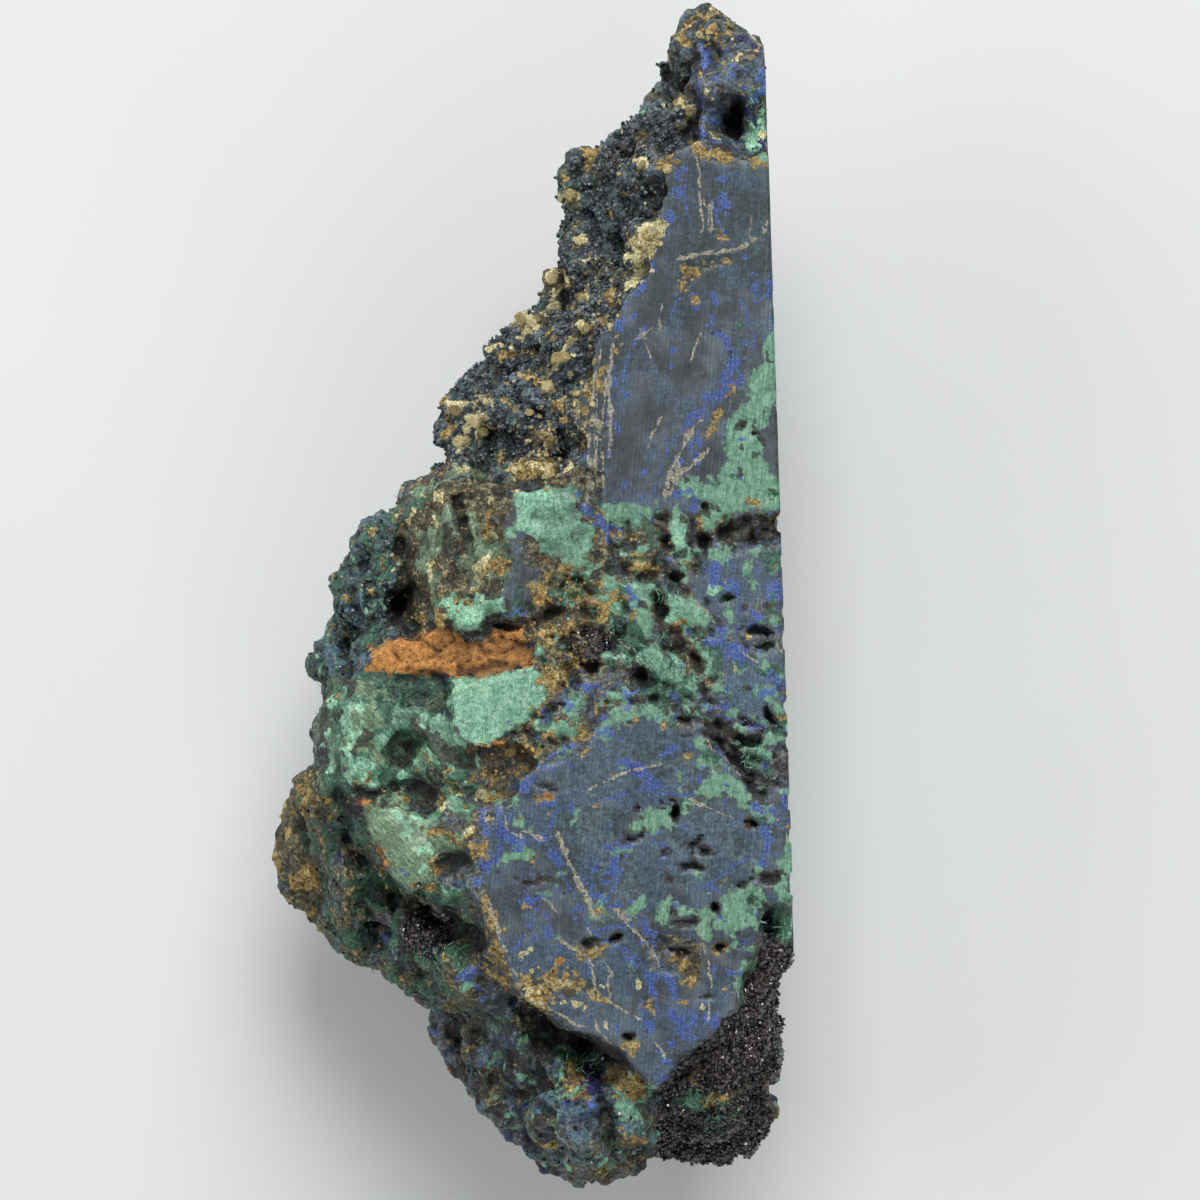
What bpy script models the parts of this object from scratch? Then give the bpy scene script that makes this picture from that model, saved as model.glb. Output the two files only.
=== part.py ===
"""Azurite specimen: one piece of sawn rock lying on its natural back, sawn face up.

Metres, Z up, +Y towards the narrow end, +X towards the second saw cut. The origin is the middle
of the underside of the bounding box. Places on the front are given as seen from straight above,
in pixels of a 1200 x 1200 view, and turned to metres by PIXELS_PER_METRE.
"""

import bpy
import numpy as np
from mathutils import Vector, noise

# Driving dimensions
LENGTH = 0.104
WIDTH = 0.046
THICKNESS = 0.038

# The view in which places are given
PIXELS_PER_METRE = 11500.0
VIEW_CENTRE = (600.0, 600.0)
ROCK_CENTRE = (537.0, 595.0)
VIEW_DISTANCE = 0.600
MM = 0.001

# How finely the rock is worked
SLAB_VOXEL = 0.0007
ROCK_VOXEL = 0.00062
TRIANGLES_KEPT = 12300

# Rims, walls and the stock that the saw takes off
FRONT_RIM_RADIUS = 0.0030
BACK_RIM_RADIUS = 0.0130
RIM_HALF_HEIGHT = 0.0010
SAWN_WALL = 0.0008
SAW_STOCK = 0.0012
FIELD_SOFTNESS = 0.0010
LEAST_DEPTH = 0.0003
SAW_CUT_TOP = (765.0, 45.0)
SAW_CUT_FOOT = (793.0, 895.0)

PIT_WALL_STEEPNESS = 3.0

# Lumpy growth on the natural surfaces: size of a lump, height of it
KIDNEY_LUMPS = ((0.0095, 0.0013), (0.0042, 0.0010))
BACK_LUMP_GAIN = 1.6

# Outline of the rock from above, clockwise from the knob at the narrow end.
# It runs on past the second saw cut, which trims it.
ROCK_OUTLINE = (
    (710, 7), (726, 14), (737, 24), (757, 36), (764, 45), (805, 52),
    (835, 500), (835, 950), (783, 972), (777, 1000), (780, 1050), (778, 1065),
    (765, 1080), (766, 1110), (757, 1125), (755, 1150), (740, 1158), (715, 1157),
    (690, 1153), (668, 1155), (640, 1178), (600, 1182), (580, 1183), (556, 1163),
    (525, 1145), (505, 1130), (480, 1100), (460, 1080), (450, 1060), (455, 1045),
    (437, 1038), (432, 1020), (437, 1003), (416, 999), (400, 983), (385, 970),
    (362, 965), (340, 952), (318, 932), (300, 910), (288, 885), (281, 860),
    (279, 840), (281, 815), (286, 800), (303, 781), (316, 768), (316, 750),
    (319, 725), (317, 700), (326, 680), (318, 665), (320, 643), (331, 620),
    (340, 605), (338, 590), (347, 560), (365, 530), (385, 513), (400, 505),
    (402, 484), (420, 476), (440, 463), (449, 458), (443, 440), (449, 420),
    (450, 404), (463, 388), (488, 370), (497, 343), (503, 327), (520, 310),
    (541, 305), (545, 290), (555, 262), (562, 257), (550, 235), (553, 212),
    (567, 180), (585, 157), (604, 146), (620, 130), (643, 112), (645, 97),
    (663, 80), (674, 58), (675, 40), (693, 27), (698, 18),
)

# Outline of the flat face that the first saw cut left
SAWN_OUTLINE = (
    (724, 30), (700, 55), (690, 100), (680, 135), (668, 160), (665, 180), (660, 200),
    (668, 225), (655, 250), (640, 285), (620, 310), (600, 340), (590, 370), (585, 400),
    (583, 440), (583, 480), (560, 487), (530, 490), (513, 492), (507, 530), (512, 560),
    (507, 590), (504, 616), (530, 620), (536, 650), (535, 668), (500, 674), (458, 684),
    (452, 712), (466, 740), (498, 740), (530, 735), (538, 765), (515, 782), (520, 795),
    (498, 800), (470, 812), (464, 840), (475, 865), (480, 890), (490, 912), (497, 940),
    (505, 962), (514, 985), (522, 1001), (545, 1010), (568, 1026), (590, 1033),
    (612, 1048), (632, 1058), (643, 1075), (655, 1088), (668, 1075), (680, 1060),
    (692, 1050), (702, 1041), (716, 1034), (720, 1014), (735, 1013), (738, 998),
    (744, 985), (752, 970), (757, 950), (762, 930), (766, 905), (790, 900), (850, 880),
    (850, 40), (780, 30),
)

# Depth in millimetres of the natural front surface under the sawn face: (u, v, depth)
UPPER_CRUST = (
    (700, 35, 3), (680, 60, 5), (668, 85, 7), (672, 110, 3), (650, 135, 6), (625, 140, 10),
    (655, 165, 1.5), (610, 160, 9), (580, 185, 11), (640, 200, 2.5), (610, 205, 6),
    (565, 215, 11), (640, 240, 1.5), (610, 250, 5), (575, 250, 9), (560, 275, 11),
    (625, 290, 1.2), (595, 290, 5), (565, 305, 9), (600, 325, 1.8), (575, 330, 5),
    (540, 330, 8), (515, 330, 10), (583, 370, 1.2), (555, 365, 4), (525, 365, 7),
    (498, 372, 9), (572, 405, 1), (540, 400, 3), (505, 400, 6), (468, 400, 9),
    (572, 445, 0.8), (540, 440, 2.5), (500, 440, 5), (460, 440, 8), (540, 475, 1.2),
    (500, 470, 3), (455, 465, 6),
)
UPPER_LEFT = (
    (480, 500, 1.5), (450, 500, 3), (420, 495, 6), (480, 540, 0.8), (450, 540, 1.3),
    (420, 540, 3), (402, 545, 6), (470, 580, 0.8), (440, 588, 1.5), (425, 600, 3),
    (385, 530, 8.5), (365, 550, 9), (350, 580, 10), (362, 600, 8.5), (340, 625, 11),
    (382, 585, 8), (345, 650, 10), (327, 662, 12), (385, 620, 9), (365, 640, 8),
    (402, 605, 10), (475, 608, 0.8), (445, 606, 1.5), (470, 630, 4),
)
MIDDLE_LEFT = (
    (376, 665, 5), (386, 648, 4.2), (405, 655, 3.4), (430, 645, 2.9), (460, 660, 2.3),
    (500, 645, 1.8), (380, 688, 5.5), (415, 690, 4.8), (445, 690, 3), (335, 690, 6),
    (328, 720, 7), (345, 735, 4.4), (362, 715, 3.4), (370, 765, 3.4), (398, 708, 3),
    (430, 720, 2.2), (448, 745, 2), (435, 775, 2.4), (405, 752, 4.8), (400, 783, 3.4),
    (352, 778, 5.5), (325, 752, 8), (500, 768, 5), (488, 788, 4), (515, 755, 1.5),
)
LOWER_LEFT = (
    (370, 793, 7), (410, 792, 5), (440, 795, 3), (470, 795, 2), (380, 815, 3.4),
    (403, 830, 2.9), (430, 838, 2.5), (452, 842, 2.3), (390, 860, 4), (412, 882, 4.4),
    (425, 892, 5), (447, 868, 3), (447, 892, 3.6), (470, 870, 1.4), (330, 810, 10),
    (352, 810, 11), (345, 838, 8.5), (362, 855, 9), (330, 868, 10), (350, 888, 10),
    (382, 885, 10), (330, 895, 13), (350, 918, 13), (380, 912, 11), (365, 942, 14),
    (300, 790, 18), (290, 830, 19), (306, 860, 17), (297, 888, 20), (318, 800, 13),
    (320, 915, 17), (402, 910, 9), (430, 910, 10), (410, 940, 9), (438, 938, 8.5),
    (425, 968, 10), (455, 915, 9), (400, 972, 13), (430, 990, 13), (440, 900, 8),
    (462, 965, 5), (447, 962, 7), (475, 988, 6), (486, 945, 3), (475, 912, 3.2),
    (462, 928, 8), (455, 1003, 10), (482, 1010, 8),
)
FOOT = (
    (450, 1022, 20), (500, 1018, 7), (520, 1028, 7), (545, 1022, 9), (575, 1042, 9),
    (604, 1052, 8), (527, 1008, 6), (470, 1060, 12), (500, 1068, 10), (482, 1088, 12),
    (520, 1090, 9), (510, 1118, 12), (536, 1132, 12), (540, 1048, 6.5), (570, 1060, 5.5),
    (592, 1082, 6), (558, 1088, 4.4), (575, 1120, 3.8), (550, 1118, 6), (592, 1142, 5.5),
    (575, 1152, 6), (606, 1122, 9), (625, 1080, 3.5), (632, 1108, 4), (640, 1132, 6),
    (615, 1148, 10), (652, 1105, 7), (672, 1082, 4), (690, 1100, 5.5), (702, 1125, 8),
    (660, 1130, 8.5), (722, 1112, 6.5), (690, 1146, 11), (705, 1050, 2.5),
    (735, 1030, 3), (762, 1000, 2), (762, 1040, 4), (742, 1068, 4.5), (772, 1062, 7),
    (722, 1085, 5.5), (752, 1090, 9), (750, 1122, 15), (738, 1145, 16), (600, 1170, 17),
    (640, 1166, 17), (770, 940, 2.5), (772, 970, 2), (748, 985, 1.2), (728, 1018, 2.5),
)
FRONT_DEPTHS = UPPER_CRUST + UPPER_LEFT + MIDDLE_LEFT + LOWER_LEFT + FOOT

# Ledges that stand over their surroundings: outline, then the depths in millimetres
# at their left and right ends
RUST_LEDGE = (
    (366, 668), (374, 652), (386, 641), (410, 637), (430, 626), (447, 628), (465, 640), (480, 640),
    (492, 629), (525, 626), (532, 650), (534, 666), (510, 669), (478, 677), (450, 674), (400, 674),
)
FIBROUS_FRAGMENT = (
    (363, 809), (378, 802), (405, 804), (430, 826), (466, 842), (460, 853), (430, 860),
    (436, 876), (415, 897), (398, 886), (382, 862), (379, 846), (364, 820),
)
PALE_MALACHITE = (
    (438, 598), (465, 597), (505, 589), (511, 594), (500, 610), (490, 613), (480, 629),
    (460, 631), (444, 617),
)
LEDGES = ((RUST_LEDGE, 3.8, 1.4), (FIBROUS_FRAGMENT, 3.6, 2.0), (PALE_MALACHITE, 1.0, 0.6))
LEDGE_WALL = 0.0005

# Round lumps of the front: (u, v, depth of the crown in mm, radius in mm)
FRONT_LUMPS = (
    (303, 842, 15.5, 6.0), (452, 1021, 18.5, 2.6), (463, 968, 4.2, 2.6), (448, 886, 2.8, 1.8),
    (474, 914, 3.0, 1.5), (575, 1116, 3.2, 4.2), (630, 1106, 3.2, 3.4), (592, 1080, 5.0, 1.6),
    (352, 588, 7.6, 2.8), (378, 545, 7.0, 2.6), (344, 640, 9.2, 2.8), (374, 612, 7.4, 2.0),
    (336, 676, 8.6, 2.2), (600, 270, 4.4, 2.2), (650, 236, 0.9, 1.9), (570, 256, 9.0, 1.9),
    (465, 425, 7.4, 2.2), (548, 386, 3.4, 1.6), (576, 292, 7.2, 1.6), (570, 197, 9.6, 1.8),
    (514, 318, 8.8, 1.8), (500, 428, 4.6, 2.0), (536, 440, 2.2, 1.7), (480, 388, 8.0, 1.9),
    (554, 338, 6.2, 1.4), (430, 520, 3.0, 3.2), (452, 574, 0.9, 3.4), (480, 1064, 10.0, 3.4),
    (510, 1106, 10.2, 3.2), (540, 1140, 13.0, 2.4), (745, 1120, 13.0, 3.4), (610, 1172, 15.0, 2.6),
    (372, 735, 2.4, 9.0), (626, 300, 1.0, 1.4), (585, 350, 3.0, 2.0), (405, 928, 7.8, 2.4),
    (432, 942, 7.6, 2.2), (690, 1100, 4.8, 2.2), (722, 1115, 6.0, 2.0),
)

# Depth in millimetres of the widest part of the rim, under the sawn face
RIM_DEPTHS = (
    (715, 10, 8), (660, 80, 11), (600, 150, 13), (550, 235, 14), (510, 320, 13),
    (450, 420, 13), (402, 490, 10), (365, 530, 12), (330, 620, 14), (317, 700, 10),
    (316, 760, 12), (283, 810, 22), (281, 870, 23), (318, 930, 21), (372, 968, 17),
    (425, 1002, 16), (434, 1025, 24), (452, 1065, 15), (505, 1130, 16), (556, 1163, 17),
    (590, 1183, 21), (640, 1178, 20), (675, 1155, 16), (715, 1157, 19), (757, 1140, 20),
    (768, 1080, 14), (780, 1020, 12), (835, 900, 16), (835, 500, 16), (805, 60, 8),
)

# Height in millimetres of the back over the ground; what is below it is the flat it lies on
BACK_HEIGHTS = (
    (715, 40, 23), (690, 110, 19), (680, 190, 14), (640, 260, 8), (760, 260, 11),
    (600, 330, 2.5), (740, 340, 3), (650, 390, -2.5), (560, 450, 1), (740, 450, 2),
    (470, 520, 6), (640, 520, 2.5), (760, 560, 0.5), (550, 590, -2.5), (420, 620, 6),
    (650, 640, -3), (740, 680, 1.5), (480, 690, 1), (600, 720, -3), (380, 760, 5),
    (680, 780, -2.5), (520, 800, 1.5), (420, 840, -2.5), (770, 850, 4), (330, 880, 4),
    (600, 860, -1.5), (500, 900, 3), (700, 920, 1), (430, 950, 3), (600, 960, 2),
    (520, 1000, -2.5), (680, 1030, -2.5), (470, 1060, 6), (760, 1020, 6), (580, 1070, 1.5),
    (520, 1120, 8), (640, 1120, 4), (720, 1120, 8), (600, 1170, 11),
)

# Open pits and crevices of the front: (u, v, half length, half width, turn in degrees, depth in mm)
FRONT_PITS = (
    (732, 120, 26, 13, 78, 6.0),
    (636, 536, 28, 16, 0, 3.0),
    (645, 566, 20, 15, 10, 3.0),
    (676, 530, 18, 17, 0, 2.6),
    (748, 530, 34, 13, 5, 3.4),
    (722, 742, 38, 15, -48, 4.5),
    (752, 772, 26, 9, -28, 4.0),
    (706, 688, 16, 8, -60, 3.0),
    (678, 640, 40, 8, -42, 2.5),
    (592, 950, 18, 14, 0, 3.0),
    (771, 878, 16, 7, 5, 3.0),
    (768, 922, 20, 8, 85, 3.0),
    (694, 853, 18, 13, 70, 1.6),
    (560, 612, 28, 9, 12, 2.6),
    (686, 921, 15, 5, 0, 2.6),
    (636, 837, 16, 6, 10, 2.6),
    (528, 879, 20, 5, 8, 2.4),
    (692, 272, 12, 9, 40, 1.6),
)

ROCK_COLOUR = (0.055, 0.105, 0.165, 1.0)
ROCK_ROUGHNESS = 0.62
CAP_OVERRUN = 0.02


def clear_scene():
    for thing in list(bpy.data.objects):
        bpy.data.objects.remove(thing, do_unlink=True)


def new_collection(name):
    made = bpy.data.collections.new(name)
    bpy.context.scene.collection.children.link(made)
    return made


def place(u, v):
    """The point of the sawn plane that is seen at (u, v), in metres."""
    return ((u - ROCK_CENTRE[0]) / PIXELS_PER_METRE, (ROCK_CENTRE[1] - v) / PIXELS_PER_METRE)


def places(points):
    return np.array([place(point[0], point[1]) for point in points])


def field(points, softness=FIELD_SOFTNESS):
    """A smooth surface through (u, v, value) points, as a function of places in metres."""
    centres = places(points)
    values = np.array([point[2] for point in points], float)
    level = values.mean()

    def spread(where):
        gaps = where[:, None, :] - centres[None, :, :]
        return np.sqrt((gaps**2).sum(axis=2) + softness**2)

    shares = np.linalg.solve(spread(centres), values - level)
    return lambda where: level + spread(where) @ shares


def signed_distance(where, outline):
    """Distance of places to a closed outline in metres, negative inside it."""
    starts = places(outline)
    ends = np.roll(starts, -1, axis=0)
    nearest = np.full(len(where), np.inf)
    inside = np.zeros(len(where), bool)
    for start, end in zip(starts, ends):
        run = end - start
        share = np.clip(((where - start) @ run) / (run @ run), 0.0, 1.0)
        gap = where - start - share[:, None] * run
        nearest = np.minimum(nearest, (gap**2).sum(axis=1))
        spans = (start[1] > where[:, 1]) != (end[1] > where[:, 1])
        rise = run[1] if run[1] else 1.0
        crossing = start[0] + (where[:, 1] - start[1]) * run[0] / rise
        inside ^= spans & (where[:, 0] < crossing)
    return np.where(inside, -1.0, 1.0) * np.sqrt(nearest)


def smooth_step(share):
    share = np.clip(share, 0.0, 1.0)
    return share * share * (3.0 - 2.0 * share)


def rounded(share):
    """Quarter circle from 0 at the rim to 1."""
    share = np.clip(share, 0.0, 1.0)
    return np.sqrt(1.0 - (1.0 - share) ** 2)


def pit_share(where, pit):
    """1 in the middle of a pit's floor and 0 outside its lip."""
    u, v, half_length, half_width, turn, _ = pit
    away = where - np.array(place(u, v))
    angle = np.radians(turn)
    along = away[:, 0] * np.cos(angle) + away[:, 1] * np.sin(angle)
    across = away[:, 1] * np.cos(angle) - away[:, 0] * np.sin(angle)
    reach = np.hypot(along / half_length, across / half_width) * PIXELS_PER_METRE
    return smooth_step((1.0 - reach) * PIT_WALL_STEEPNESS)


def add_ledges(where, depth):
    for outline, left_depth, right_depth in LEDGES:
        left, right = places((min(outline), max(outline)))[:, 0]
        share = np.clip((where[:, 0] - left) / (right - left), 0.0, 1.0)
        level = (left_depth + (right_depth - left_depth) * share) * MM
        over = 1.0 - smooth_step(signed_distance(where, outline) / LEDGE_WALL + 0.5)
        depth = depth + np.minimum(level - depth, 0.0) * over
    return depth


def add_lumps(where, depth):
    for u, v, crown, radius in FRONT_LUMPS:
        gap = np.hypot(*(where - np.array(place(u, v))).T) / (radius * MM)
        level = (crown + radius * (1.0 - np.sqrt(np.maximum(1.0 - gap**2, 0.0)))) * MM
        depth = np.where(gap < 1.0, np.minimum(depth, level), depth)
    return depth


def front_depth(where):
    """Depth under the sawn plane, in metres. The sawn face stands proud by the saw's stock."""
    natural = np.maximum(field(FRONT_DEPTHS)(where) * MM, LEAST_DEPTH)
    natural = add_ledges(where, add_lumps(where, natural))
    wall = smooth_step(signed_distance(where, SAWN_OUTLINE) / SAWN_WALL)
    depth = natural * wall - SAW_STOCK * (1.0 - wall)
    for pit in FRONT_PITS:
        share = pit_share(where, pit)
        floor = np.maximum(depth, 0.0) + pit[5] * MM
        depth = depth * (1.0 - share) + floor * share
    return depth


def apply_modifiers(rock):
    bpy.ops.object.select_all(action="DESELECT")
    rock.select_set(True)
    bpy.context.view_layer.objects.active = rock
    bpy.ops.object.convert(target="MESH")


def remesh(rock, voxel):
    modifier = rock.modifiers.new("Remesh", "REMESH")
    modifier.mode = "VOXEL"
    modifier.voxel_size = voxel
    apply_modifiers(rock)


def points_of(rock):
    flat = np.empty(len(rock.data.vertices) * 3)
    rock.data.vertices.foreach_get("co", flat)
    return flat.reshape(-1, 3)


def set_points(rock, points):
    rock.data.vertices.foreach_set("co", points.ravel())
    rock.data.update()


def make_slab(collection):
    """The outline as a filled curve, raised to a slab of the rock's thickness."""
    curve = bpy.data.curves.new("azurite_rock", "CURVE")
    curve.dimensions = "2D"
    curve.fill_mode = "BOTH"
    curve.extrude = THICKNESS / 2.0
    spline = curve.splines.new("POLY")
    spline.points.add(len(ROCK_OUTLINE) - 1)
    for point, (u, v) in zip(spline.points, ROCK_OUTLINE):
        point.co = (*place(u, v), 0.0, 1.0)
    spline.use_cyclic_u = True
    slab = bpy.data.objects.new("azurite_rock", curve)
    collection.objects.link(slab)
    apply_modifiers(slab)
    remesh(slab, SLAB_VOXEL)
    return slab


def shape_front_and_back(rock):
    """Carries the slab's flat sides to the front and back surfaces, which meet at a round rim."""
    points = points_of(rock)
    where = points[:, :2].copy()
    height = np.clip(points[:, 2] / THICKNESS + 0.5, 0.0, 1.0)
    inward = np.maximum(-signed_distance(where, ROCK_OUTLINE), 0.0)
    rim = field(RIM_DEPTHS)(where) * MM
    front_rim = rim - RIM_HALF_HEIGHT
    back_rim = rim + RIM_HALF_HEIGHT
    front = front_rim + (front_depth(where) - front_rim) * rounded(inward / FRONT_RIM_RADIUS)
    back_level = THICKNESS - field(BACK_HEIGHTS)(where) * MM
    back = back_rim + (back_level - back_rim) * rounded(inward / BACK_RIM_RADIUS)
    depth = front * height + np.maximum(back, front + RIM_HALF_HEIGHT) * (1.0 - height)
    points[:, 2] = THICKNESS - depth
    axis = np.array(place(*VIEW_CENTRE))
    points[:, :2] = axis + (where - axis) * (1.0 + depth / VIEW_DISTANCE)[:, None]
    set_points(rock, points)


def lump_height(point):
    """Kidney-shaped growth: round lumps with sharp valleys, in three sizes."""
    height = 0.0
    for size, rise in KIDNEY_LUMPS:
        nearest = noise.voronoi(point / size, distance_metric="DISTANCE", exponent=2.5)[0][0]
        height += rise * (0.45 - nearest)
    return height


def grow_lumps(rock):
    points = points_of(rock)
    normals = np.empty(len(points) * 3)
    rock.data.vertices.foreach_get("normal", normals)
    normals = normals.reshape(-1, 3)
    heights = np.array([lump_height(Vector(point)) for point in points])
    gain = 1.0 + (BACK_LUMP_GAIN - 1.0) * smooth_step(-normals[:, 2])
    set_points(rock, points + normals * (heights * gain)[:, None])


def keep_triangles(rock, kept):
    rock.data.calc_loop_triangles()
    modifier = rock.modifiers.new("Decimate", "DECIMATE")
    modifier.ratio = kept / len(rock.data.loop_triangles)
    apply_modifiers(rock)


def make_cutter(name, collection, centre, size, turn):
    """A box that takes away all that lies beyond one flat face."""
    bpy.ops.mesh.primitive_cube_add(size=1.0, location=centre, rotation=(0.0, 0.0, turn))
    cutter = bpy.context.object
    cutter.name = name
    cutter.scale = size
    cutter.display_type = "WIRE"
    cutter.hide_render = True
    for holder in list(cutter.users_collection):
        holder.objects.unlink(cutter)
    collection.objects.link(cutter)
    return cutter


def make_cutters(collection):
    """The first saw cut over the front, the second one down the side, and the ground."""
    half = CAP_OVERRUN / 2.0
    broad = (LENGTH * 2.0, LENGTH * 2.0, CAP_OVERRUN)
    top = np.array(place(*SAW_CUT_TOP))
    foot = np.array(place(*SAW_CUT_FOOT))
    lean = np.arctan2(foot[0] - top[0], top[1] - foot[1])
    outward = np.array((np.cos(lean), np.sin(lean)))
    middle = (top + foot) / 2.0 + outward * half
    side = (CAP_OVERRUN, LENGTH * 2.0, LENGTH)
    return (
        make_cutter("first_saw_cut", collection, (0.0, 0.0, THICKNESS + half), broad, 0.0),
        make_cutter("second_saw_cut", collection, (*middle, THICKNESS / 2.0), side, lean),
        make_cutter("ground", collection, (0.0, 0.0, -half), broad, 0.0),
    )


def cut(rock, cutters):
    for cutter in cutters:
        modifier = rock.modifiers.new(cutter.name, "BOOLEAN")
        modifier.operation = "DIFFERENCE"
        modifier.solver = "EXACT"
        modifier.object = cutter
        apply_modifiers(rock)


def fit_to_size(rock):
    """Brings the box to the driving dimensions, with the origin under its middle."""
    points = points_of(rock)
    low = points.min(axis=0)
    high = points.max(axis=0)
    middle = np.array(((low[0] + high[0]) / 2.0, (low[1] + high[1]) / 2.0, low[2]))
    stretch = np.array((WIDTH, LENGTH, THICKNESS)) / (high - low)
    set_points(rock, (points - middle) * stretch)


def rock_material():
    """Weathered copper-ore rock, taken as one colour: dark slate blue, half matt."""
    material = bpy.data.materials.new("azurite_rock")
    material.use_nodes = True
    shader = material.node_tree.nodes["Principled BSDF"]
    shader.inputs["Base Color"].default_value = ROCK_COLOUR
    shader.inputs["Roughness"].default_value = ROCK_ROUGHNESS
    shader.inputs["Metallic"].default_value = 0.0
    material.diffuse_color = ROCK_COLOUR
    return material


def make_rock(collection, cutters):
    rock = make_slab(collection)
    shape_front_and_back(rock)
    remesh(rock, ROCK_VOXEL)
    grow_lumps(rock)
    remesh(rock, ROCK_VOXEL)
    keep_triangles(rock, TRIANGLES_KEPT)
    cut(rock, cutters)
    fit_to_size(rock)
    rock.name = "azurite_rock"
    rock.data.name = "azurite_rock"
    rock.data.materials.clear()
    rock.data.materials.append(rock_material())
    return rock


def main():
    clear_scene()
    cutters = make_cutters(new_collection("cutters"))
    make_rock(new_collection("azurite_specimen"), cutters)


main()
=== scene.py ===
"""Azurite specimen: the finish of every surface, and the crystals and crumbs that are finer than the solid.

The rock lies on its back with its sawn face up. Places on it are given as seen from straight above, in
pixels of a 1200 x 1200 view, and turned to metres by place().
"""

import math

import bpy
import numpy as np
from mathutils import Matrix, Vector, noise


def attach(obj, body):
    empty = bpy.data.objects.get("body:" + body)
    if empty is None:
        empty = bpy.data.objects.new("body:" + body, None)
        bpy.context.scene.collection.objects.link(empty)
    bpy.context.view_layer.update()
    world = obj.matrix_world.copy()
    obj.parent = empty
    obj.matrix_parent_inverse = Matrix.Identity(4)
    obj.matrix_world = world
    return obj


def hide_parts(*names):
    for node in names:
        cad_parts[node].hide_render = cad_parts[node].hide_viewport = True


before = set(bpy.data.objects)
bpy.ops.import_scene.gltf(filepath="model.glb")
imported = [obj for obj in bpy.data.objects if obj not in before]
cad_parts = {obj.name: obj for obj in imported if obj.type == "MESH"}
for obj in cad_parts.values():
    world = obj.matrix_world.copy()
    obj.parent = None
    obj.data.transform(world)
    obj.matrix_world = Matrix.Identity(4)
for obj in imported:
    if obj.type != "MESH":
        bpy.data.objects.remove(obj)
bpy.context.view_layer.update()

bl_info = {
    "name": "Azurite specimen",
    "version": (1, 0, 0),
    "blender": (4, 5, 0),
    "location": "3D View > Sidebar > Specimen",
    "description": "Builds the surface, crystals and stage of a sawn azurite specimen",
    "category": "Add Mesh",
}

MM = 0.001

# The view in which places are given, and how the rock lies in the frame
PIXELS_PER_METRE = 11500.0
PIXELS_PER_MM = 11.5
VIEW_CENTRE = (600.0, 600.0)
ROCK_CENTRE = (537.0, 595.0)
VIEW_DISTANCE = 0.600
THICKNESS = 0.038
FRAME_SHIFT = (0.000502, 0.000424)

# Rims, walls and the stock that the saw takes off, as in the solid
FRONT_RIM_RADIUS = 0.0030
BACK_RIM_RADIUS = 0.0130
RIM_HALF_HEIGHT = 0.0010
SAWN_WALL = 0.0005
SAW_STOCK = 0.0012
FIELD_SOFTNESS = 0.0010
LEAST_DEPTH = 0.0003
SAW_CUT_TOP = (765.0, 45.0)
SAW_CUT_FOOT = (793.0, 895.0)
PIT_WALL_STEEPNESS = 3.0
KIDNEY_LUMPS = ((0.0095, 0.0013), (0.0042, 0.0010))
BACK_LUMP_GAIN = 1.6
# How near a point is to one of the flat faces when it is drawn onto it
FLAT_SNAP = 0.00012
# The band along the edge of the side cut in which chips are broken off, and how far down they look
EDGE_BAND = 0.0012
EDGE_DEPTH_MM = 15.0

# Left alone, noise_vector takes its offsets from the clock, and the rims would differ from run to run
NOISE_SEED = 7
# Sideways shifts of drawn shapes: how far, and the size of the noise
WARP_SIZE = 0.0021
WARP_DETAIL = 2.6
WARP_DETAIL_SHARE = 0.45
HOLLOW_WARP = (0.00055, 0.0016)
PIT_WARP = (0.00045, 0.0010)
DRAWN_WARP = (0.22 * PIXELS_PER_MM, 0.0015)
TORN_WARP = 0.4 * PIXELS_PER_MM

# Round beads that grow on the natural crust: size, height
COARSE_BEADS = ((0.0048, 0.0022), (0.0022, 0.0012))
FINE_BEADS = ((0.0012, 0.00040), (0.0006, 0.00018))
BEAD_REACH = 0.72
BEAD_MEAN = 0.62
# Grit, small crags, druse spikes and rust plates: sizes and heights
GRIT = ((0.0009, 0.00010), (0.0005, 0.00008))
FINE_CRAG_SIZE = 0.0011
DRUSE_SPIKE_SIZE = 0.0010
DRUSE_SPIKE_HEIGHT = 0.00022
BLOCK_SIZES = (0.0044, 0.0021, 0.0030)
BLOCK_CRACK = 0.08
PLATE_HEIGHT = 0.00085
# How many crystals, beads and crumbs each mineral carries
CRUST_BEAD_COUNT = 2400
NEEDLE_COUNT = 160
DRUSE_POINT_COUNT = 4200
KIDNEY_POINT_COUNT = 250
CRUMB_COUNT = 900

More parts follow.
